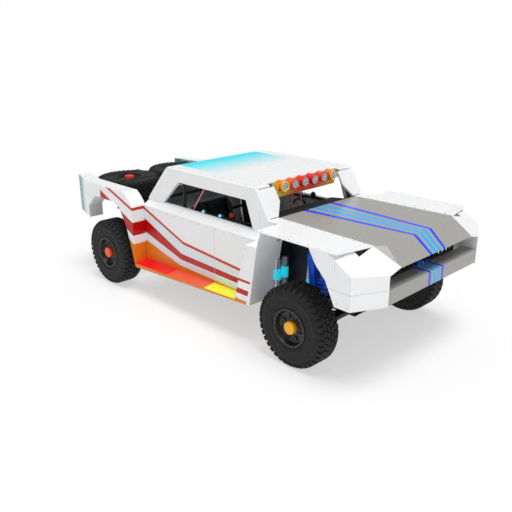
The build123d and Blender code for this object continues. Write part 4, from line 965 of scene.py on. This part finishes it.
class TRUCK_OT_cab(bpy.types.Operator):
    """Build seats, harness, steering wheel, instruments, door bars and extinguisher"""

    bl_idname = "truck.cab"
    bl_label = "Cab"

    def execute(self, context):
        colours = paint()
        black = coated("dash_skin", srgb(18, 18, 19), 0.6, 500.0)
        coat(["dashboard"], black, 0.006)
        coat(["cab_back"], coated("bulkhead_coat", srgb(196, 197, 199), 0.55))
        coat(["brace_rods"], coated("rod_coat", colours.rods, 0.35))
        self.steering_wheel(black)
        self.instruments()
        self.door_bars(coated("bar_coat", colours.frame))
        self.bottle()
        self.seats()
        return {"FINISHED"}

    def steering_wheel(self, black):
        """Padded ring, three spokes, hub and column."""
        centre = Vector((0.470, 0.400, 1.210))
        column = Vector((0.300, 0, 0.0775)).normalized()
        place = toward(centre, column)
        wheel = Shape()
        ring = [place @ polar(0.150, turn, 0.013) for turn in turns(48)]
        wheel.tube(ring, 0.0145, 12, loop=True)
        hub = (
            (0.020, -0.004), (0.048, 0.0), (0.052, 0.006), (0.052, 0.022),
            (0.040, 0.03), (0.026, 0.04), (0.026, 0.24),
        )
        wheel.lathe(place, hub, 24)
        wheel.tone = 1
        outline = ((0.045, -0.017), (0.142, -0.012), (0.142, 0.012), (0.045, 0.017))
        for angle in turns(3):
            wheel.slab(turned(place, angle + math.pi / 2, (0, 0, 0.009)), outline, 0.008, 0.002)
        coats = black, bare_metal("spoke_alloy")
        wheel.make("steering_ring", "chassis", *coats, replaces=("steering_wheel",), slot="wheel_grip")

    def instruments(self):
        """Gauges before the driver, a screen in the middle and lit switches."""
        face = Vector((0.745, 0, 1.268))
        out = Vector((-0.924, 0, -0.382)).normalized()

        def plate(half_x, half_y):
            return (-half_x, -half_y), (half_x, -half_y), (half_x, half_y), (-half_x, half_y)

        panel = Shape()
        metal = bare_metal("bezel_metal", (0.5, 0.5, 0.5))
        screen = glowing("screen_glow", srgb(16, 60, 70), 0.5)
        cyan = glowing("switch_cyan", paint().glow, 2.0)
        red = glowing("switch_red", srgb(230, 12, 10), 2.0)
        for y, radius in ((0.30, 0.034), (0.40, 0.052), (0.50, 0.034)):
            place = toward(face + Vector((0, y, 0)), out)
            bezel = ((radius, -0.01), (radius, 0.012), (radius * 0.88, 0.014), (radius * 0.86, 0.006))
            panel.lathe(place, bezel, 32)
        for y, half in ((0.0, 0.11), (-0.38, 0.13)):
            place = toward(face + Vector((0, y, 0)), out)
            panel.slab(place, plate(half, 0.062), 0.018, 0.005)
            panel.tone = 1
            panel.slab(place @ Matrix.Translation((0, 0, 0.0165)), plate(half - 0.014, 0.05), 0.003, 0.001)
            panel.tone = 0
        for rank in range(12):
            panel.tone = 3 if rank % 4 == 3 else 2
            place = toward(face + Vector((0.03, -0.30 + 0.055 * rank, -0.07)), out)
            panel.lathe(place, ((0.010, -0.01), (0.010, 0.006), (0.006, 0.009)), 14)
        panel.make("dash_instruments", "chassis", metal, screen, cyan, red)

    def door_bars(self, black):
        """A bar inside each door, from the main hoop to the cage's front leg, with marker lamps."""
        cyan = glowing("marker_cyan", srgb(0, 120, 168), 0.5)
        red = glowing("marker_red", srgb(150, 10, 12), 0.35)
        core = glowing("marker_core", srgb(150, 240, 255), 1.2)
        bars = Shape()
        for _, side in SIDES:
            start, end = Vector((-0.48, side * 0.772, 1.262)), Vector((1.035, side * 0.772, 1.330))
            bars.tube([start, start.lerp(end, 0.5), end], 0.015, 12)
            for x, rise, tone in ((-0.124, 0.005, 1), (0.198, 0.0, 1), (0.41, 0.045, 2)):
                spot = start.lerp(end, (x - start.x) / (end.x - start.x)) + Vector((0, -side * 0.015, rise))
                place = toward(spot, (0.5, side, 0.7))
                bars.tone = 0
                bars.lathe(place, ((0.030, -0.02), (0.038, 0.0), (0.038, 0.022), (0.034, 0.026)), 20)
                bars.tone = tone
                bars.lathe(place, ((0.033, 0.024), (0.029, 0.034), (0.015, 0.039)), 20)
                if tone == 1:
                    bars.tone = 3
                    bars.lathe(place, ((0.015, 0.039), (0.010, 0.042)), 14)
            bars.tone = 0
        bars.make("door_bars", "chassis", black, cyan, red, core)

    def bottle(self):
        """Extinguisher bottle clamped behind the main hoop."""
        bottle = Shape()
        place = toward((-0.585, -0.72, 1.175), (0, 1, 0))
        shell = (
            (0.020, 0), (0.050, 0.015), (0.058, 0.04), (0.058, 0.30), (0.050, 0.325),
            (0.022, 0.345), (0.022, 0.38), (0.030, 0.382), (0.030, 0.40), (0.012, 0.41),
        )
        bottle.lathe(place, shell, 28)
        bottle.tone = 1
        clamp = ((0.0585, 0), (0.062, 0.002), (0.062, 0.024), (0.0585, 0.026))
        for level in (0.07, 0.25):
            bottle.lathe(place, [(radius, level + rise) for radius, rise in clamp], 28, loop=True)
            bottle.box((-0.56, -0.715 + level, 1.11), (-0.475, -0.695 + level, 1.13), 0.003)
        blue = coated("bottle_paint", srgb(8, 10, 120), 0.3)
        bottle.make("fire_bottle", "chassis", blue, bare_metal("bottle_clamps"))

    def seats(self):
        """Bucket shells with stuffed pads and harness straps."""
        cloth = seat_cloth()
        strap = webbing("harness_web", srgb(150, 16, 18))
        shell_coat = coated("seat_shell", srgb(20, 20, 22), 0.4)
        # part, middle of the pad in X and Z, lean in degrees, length, width and height
        pads = (
            ("pan", -0.035, 0.740, -8, (0.30, 0.33, 0.062)),
            ("back", -0.252, 0.990, 79, (0.44, 0.33, 0.062)),
            ("head", -0.314, 1.285, 79, (0.12, 0.27, 0.052)),
        )
        # X, share of the spread to each side of the seat's middle, Z
        shoulder_belt = (
            (-0.470, 0.8, 1.118), (-0.395, 0.85, 1.180), (-0.275, 1, 1.165), (-0.205, 1, 1.0),
            (-0.165, 0.9, 0.86), (-0.10, 0.5, 0.80), (-0.06, 0.2, 0.792),
        )
        lap_belt = ((-0.16, 0.205, 0.74), (-0.14, 0.16, 0.80), (-0.07, 0.07, 0.80), (-0.05, 0.01, 0.795))
        low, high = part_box("seat_left")
        left_y = (low.y + high.y) / 2
        for part, x, z, lean, size in pads:
            place = Matrix.Translation((x, left_y, z)) @ Matrix.Rotation(math.radians(lean), 4, "Y")
            left = self.pad(f"seat_left_{part}", place, size, cloth)
            self.stuff(left, place, size[1])
            twin = left.data.copy()
            twin.transform(Matrix.Translation((0, -2 * left_y, 0)))
            right = set_down(f"seat_right_{part}", twin, "chassis")
        for name, side in SIDES:
            y = side * left_y
            coat([f"seat_{name}"], shell_coat, 0.012)
            straps = Shape()
            for belt, spread in ((shoulder_belt, 0.085), (lap_belt, 1)):
                for across in (-spread, spread):
                    route = [(x, y + across * share, z) for x, share, z in belt]
                    straps.strap(route, 0.024, Vector((0, 1, 0)))
            straps.make(f"harness_{name}", "chassis", strap)

    def pad(self, name, place, size, cloth):
        """A crowned cushion whose sides pull in between its corners."""
        length_x, width, height = size
        pad = Shape()
        columns, rows = 22, 22

        def point(i, j, top):
            u, v = 2 * i / columns - 1, 2 * j / rows - 1
            corner = (1 - abs(u) ** 5) * (1 - abs(v) ** 5)
            pull = 1 - 0.05 * (1 - abs(u) ** 2) * abs(v) ** 6
            level = height / 2 * max(corner, 0.0) ** 0.42
            return place @ Vector((u * length_x / 2 * pull, v * width / 2, level if top else -level))

        grid = [(i, j) for i in range(columns + 1) for j in range(rows + 1)]
        upper = {(i, j): pad.mesh.verts.new(point(i, j, True)) for i, j in grid}
        lower = dict(upper)
        for i, j in grid:
            if 0 < i < columns and 0 < j < rows:
                lower[i, j] = pad.mesh.verts.new(point(i, j, False))
        for sheet in (upper, lower):
            for i in range(columns):
                for j in range(rows):
                    pad.mesh.faces.new([sheet[k] for k in ((i, j), (i + 1, j), (i + 1, j + 1), (i, j + 1))])
        return pad.make(name, "chassis", cloth, slot="seat_cloth", angle=180)

    def stuff(self, pad, place, width):
        """Swells a pad with cloth pressure, keeps the result and presses its sewn channels in."""
        voxel, frames, reach = 0.006, 20, 0.010
        channel, depth = 0.36, 0.006
        remesh = pad.modifiers.new("remesh", "REMESH")
        remesh.mode, remesh.voxel_size = "VOXEL", voxel
        self.keep(pad)
        start = [vertex.co.copy() for vertex in pad.data.vertices]
        stuffing = pad.modifiers.new("stuffing", "CLOTH")
        stuffing.settings.use_pressure = True
        stuffing.settings.uniform_pressure_force = 4.0
        stuffing.settings.effector_weights.gravity = 0.0
        stuffing.point_cache.frame_start, stuffing.point_cache.frame_end = 1, frames
        for step in range(1, frames + 1):
            bpy.context.scene.frame_set(step)
        self.keep(pad)
        bpy.context.scene.frame_set(1)
        flat = place.inverted()
        outward = place.to_3x3() @ Vector((0, 0, 1))
        for vertex, old in zip(pad.data.vertices, start):
            move = vertex.co - old
            vertex.co = old + move * min(1, reach / max(move.length, 1e-9))
            local = flat @ vertex.co
            if local.z > 0:
                across = local.y / (width / 2)
                press = sum(math.exp(-(((across - at) / 0.05) ** 2)) for at in (-channel, channel))
                vertex.co -= outward * depth * press

    def keep(self, piece):
        """Makes a piece's modifiers part of its mesh."""
        graph = bpy.context.evaluated_depsgraph_get()
        shaped = bpy.data.meshes.new_from_object(piece.evaluated_get(graph), depsgraph=graph)
        piece.modifiers.clear()
        piece.data = shaped
        shaped.polygons.foreach_set("use_smooth", [True] * len(shaped.polygons))


class TRUCK_OT_lamps(bpy.types.Operator):
    """Build the roof lamps and paint the light bar"""

    bl_idname = "truck.lamps"
    bl_label = "Lamps"

    def execute(self, context):
        colours = paint()
        low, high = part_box("lamp_lenses")
        reach = (high.z - low.z) / 2
        shell = Finish("lamp_shell", Roughness=0.3)
        across = abs(shell.xyz()[1])
        shell.set("Base Color", shell.over(colours.lamp_inner, across.ramp(0.10, 0.42), colours.lamp_outer))
        shell.set("Coat Weight", 0.5)
        bezel = Finish("lamp_bezel", Roughness=0.35)
        across = abs(bezel.xyz()[1])
        bezel.set("Base Color", bezel.over(srgb(214, 40, 14), across > 0.36, colours.bar_end))
        lens = Finish("lamp_lens", Roughness=0.08, IOR=1.45)
        cells = lens.texture("Voronoi", 46.0)
        lens.set("Base Color", lens.over(srgb(252, 252, 253), cells < 0.20, srgb(40, 42, 46)))
        lens.bump(cells, 0.002, 0.6)
        coat(["light_bar"], self.strip_paint(), 0.002)
        coat(["lamp_housings"], shell)
        coat(["lamp_lenses"], lens)
        trim = Shape()
        ring = (
            (0.052, -0.004), (0.0635, -0.006), (0.0655, -0.002),
            (0.0645, 0.004), (0.058, 0.007), (0.053, 0.003),
        )
        centre = (low + high) / 2
        pitch = (high.y - low.y - 2 * reach) / 5
        for rank in range(6):
            place = toward((high.x, low.y + reach + rank * pitch, centre.z), (1, 0, 0))
            trim.tone = 0
            trim.lathe(place, ring, 36, loop=True)
            trim.tone = 1
            for row in range(-2, 3):
                rise, y = row * 0.018, place.translation.y
                half = math.sqrt(max(0.048 ** 2 - rise ** 2, 0))
                start = (high.x + 0.0005, y - half, centre.z + rise - 0.0018)
                trim.box(start, (high.x + 0.004, y + half, centre.z + rise + 0.0018), 0.0008)
        trim.make("lamp_trim", "chassis", bezel, coated("guard_bars", srgb(28, 28, 30)))
        return {"FINISHED"}

    def strip_paint(self):
        """Light bar that runs from red in the middle to yellow ends, with two rows of dark slots."""
        finish = Finish("strip_paint", Roughness=0.35)
        x, y, z = finish.xyz()
        across = abs(y)
        rows = abs(z - 1.686).between(0.0, 0.006) | abs(z - 1.660).between(0.0, 0.005)
        slots = ((y * 22.0).fract() < 0.62) & rows & (x > 0.953)
        base = finish.layers(
            srgb(255, 74, 10),
            (across.ramp(0.18, 0.30), srgb(255, 150, 0)),
            (across.ramp(0.36, 0.46), paint().bar_end),
            (slots, srgb(14, 12, 10)),
        )
        finish.set("Base Color", base)
        return finish


class TRUCK_OT_bed(bpy.types.Operator):
    """Strap down the spares and dress the fuel cell"""

    bl_idname = "truck.bed"
    bl_label = "Bed"

    def execute(self, context):
        low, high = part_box("spare_tyres")
        middle, radius = spare_middle()
        straps = Shape()
        for _, side in SIDES:
            for across in (-0.25, 0.25):
                half = math.sqrt(radius ** 2 - across ** 2)
                x, y = middle.x + across, side * middle.y
                top, foot, shoulder = high.z + 0.003, half + 0.006, half - 0.04
                route = [
                    (x, y - foot, low.z), (x, y - foot, top - 0.05), (x, y - shoulder, top),
                    (x, y + shoulder, top), (x, y + foot, top - 0.05), (x, y + foot, low.z),
                ]
                straps.strap(route, 0.022, Vector((1, 0, 0)))
        straps.make("spare_straps", "chassis", webbing("spare_web", srgb(30, 30, 33)))
        fittings = Shape()
        filler = Matrix.Translation((-1.96, 0.30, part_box("fuel_cell")[1].z))
        neck = ((0.055, -0.03), (0.055, 0.03), (0.062, 0.034), (0.062, 0.052), (0.05, 0.058))
        fittings.lathe(filler, neck, 28)
        fittings.make("fuel_filler", "chassis", bare_metal("filler_alloy"))
        return {"FINISHED"}


class TRUCK_OT_stage(bpy.types.Operator):
    """Set the floor, the light and the camera"""

    bl_idname = "truck.stage"
    bl_label = "Studio"

    def execute(self, context):
        studio = context.scene.truck_studio
        self.floor(studio)
        self.sky(context, studio)
        key = bpy.data.lights.new("key", "SUN")
        key.energy, key.angle = studio.key, math.radians(28)
        self.aim(context, key, (1.3, -0.2, 6.4), (0, 0, 0))
        fill = bpy.data.lights.new("fill", "AREA")
        fill.energy, fill.size = studio.fill, 5.0
        self.aim(context, fill, (5.5, -6.0, 3.0), (0, 0, 0.8))
        self.camera(context, studio)
        context.scene.view_settings.view_transform = "Standard"
        return {"FINISHED"}

    def aim(self, context, light, place, target):
        lamp = bpy.data.objects.new(light.name, light)
        lamp.location = place
        lamp.rotation_mode = "QUATERNION"
        lamp.rotation_quaternion = (Vector(target) - Vector(place)).to_track_quat("-Z", "Y")
        context.scene.collection.objects.link(lamp)

    def floor(self, studio):
        """A plain pale disc that shows lighter to the camera than it lights the truck."""
        finish = Finish("floor", Roughness=0.9, Specular_IOR_Level=0.1)
        finish.set("Base Color", studio.floor)
        shown = finish.node("ShaderNodeLightPath", output="Is Camera Ray")
        glossy, through = shown.out("Is Glossy Ray"), shown.out("Is Transmission Ray")
        white = finish.node("ShaderNodeEmission", None, {"Color": (1, 1, 1), "Strength": 1.0})
        finish.blend((shown | glossy | through) * 0.55, white)
        disc, radius = Shape(), 60.0
        disc.lathe(Matrix.Translation((0, 0, -0.02)), ((radius, 0.0), (radius, 0.0195)), 96)
        mesh = bpy.data.meshes.new("studio_floor")
        disc.mesh.to_mesh(mesh)
        disc.mesh.free()
        mesh.materials.append(finish.material)
        ground = bpy.data.objects.new("studio_floor", mesh)
        bpy.context.scene.collection.objects.link(ground)

    def sky(self, context, studio):
        context.scene.world = bpy.data.worlds.new("studio")
        light = Finish("studio", context.scene.world, Color=(1, 1, 1), Strength=studio.sky)
        shown = light.node("ShaderNodeLightPath", output="Is Camera Ray")
        light.blend(shown, light.node("ShaderNodeBackground", None, {"Color": (1, 1, 1), "Strength": 1.0}))

    def camera(self, context, studio):
        data = bpy.data.cameras.new("photo_view")
        data.lens, data.sensor_width, data.clip_end = studio.lens, 36.0, 200.0
        camera = bpy.data.objects.new("photo_view", data)
        right, up = (0.70261, 0.71158, 0.0), (-0.24033, 0.23730, 0.94125)
        back = (0.66977, -0.66132, 0.33774)
        turn = Matrix((right, up, back)).transposed().to_4x4()
        camera.matrix_world = Matrix.Translation(studio.eye) @ turn
        context.scene.collection.objects.link(camera)
        context.scene.camera = camera


OPERATORS = (
    TRUCK_OT_body,
    TRUCK_OT_wheels,
    TRUCK_OT_suspension,
    TRUCK_OT_cab,
    TRUCK_OT_lamps,
    TRUCK_OT_bed,
    TRUCK_OT_stage,
)


class TRUCK_PT_panel(bpy.types.Panel):
    """Lists the steps that dress the truck"""

    bl_idname = "TRUCK_PT_panel"
    bl_label = "Desert race truck"
    bl_space_type = "VIEW_3D"
    bl_region_type = "UI"
    bl_category = "Truck"

    def draw(self, context):
        for operator in OPERATORS:
            self.layout.operator(operator.bl_idname)


SETTINGS = (
    ("truck_paint", TRUCK_PG_paint),
    ("truck_running", TRUCK_PG_running),
    ("truck_studio", TRUCK_PG_studio),
)


def register():
    for name, group in SETTINGS:
        bpy.utils.register_class(group)
        setattr(bpy.types.Scene, name, PointerProperty(type=group))
    for made in (*OPERATORS, TRUCK_PT_panel):
        bpy.utils.register_class(made)


def unregister():
    for made in (TRUCK_PT_panel, *reversed(OPERATORS)):
        bpy.utils.unregister_class(made)
    for name, group in reversed(SETTINGS):
        delattr(bpy.types.Scene, name)
        bpy.utils.unregister_class(group)


def main():
    register()
    for operator in OPERATORS:
        group, step = operator.bl_idname.split(".")
        getattr(getattr(bpy.ops, group), step)()


if __name__ == "__main__":
    main()
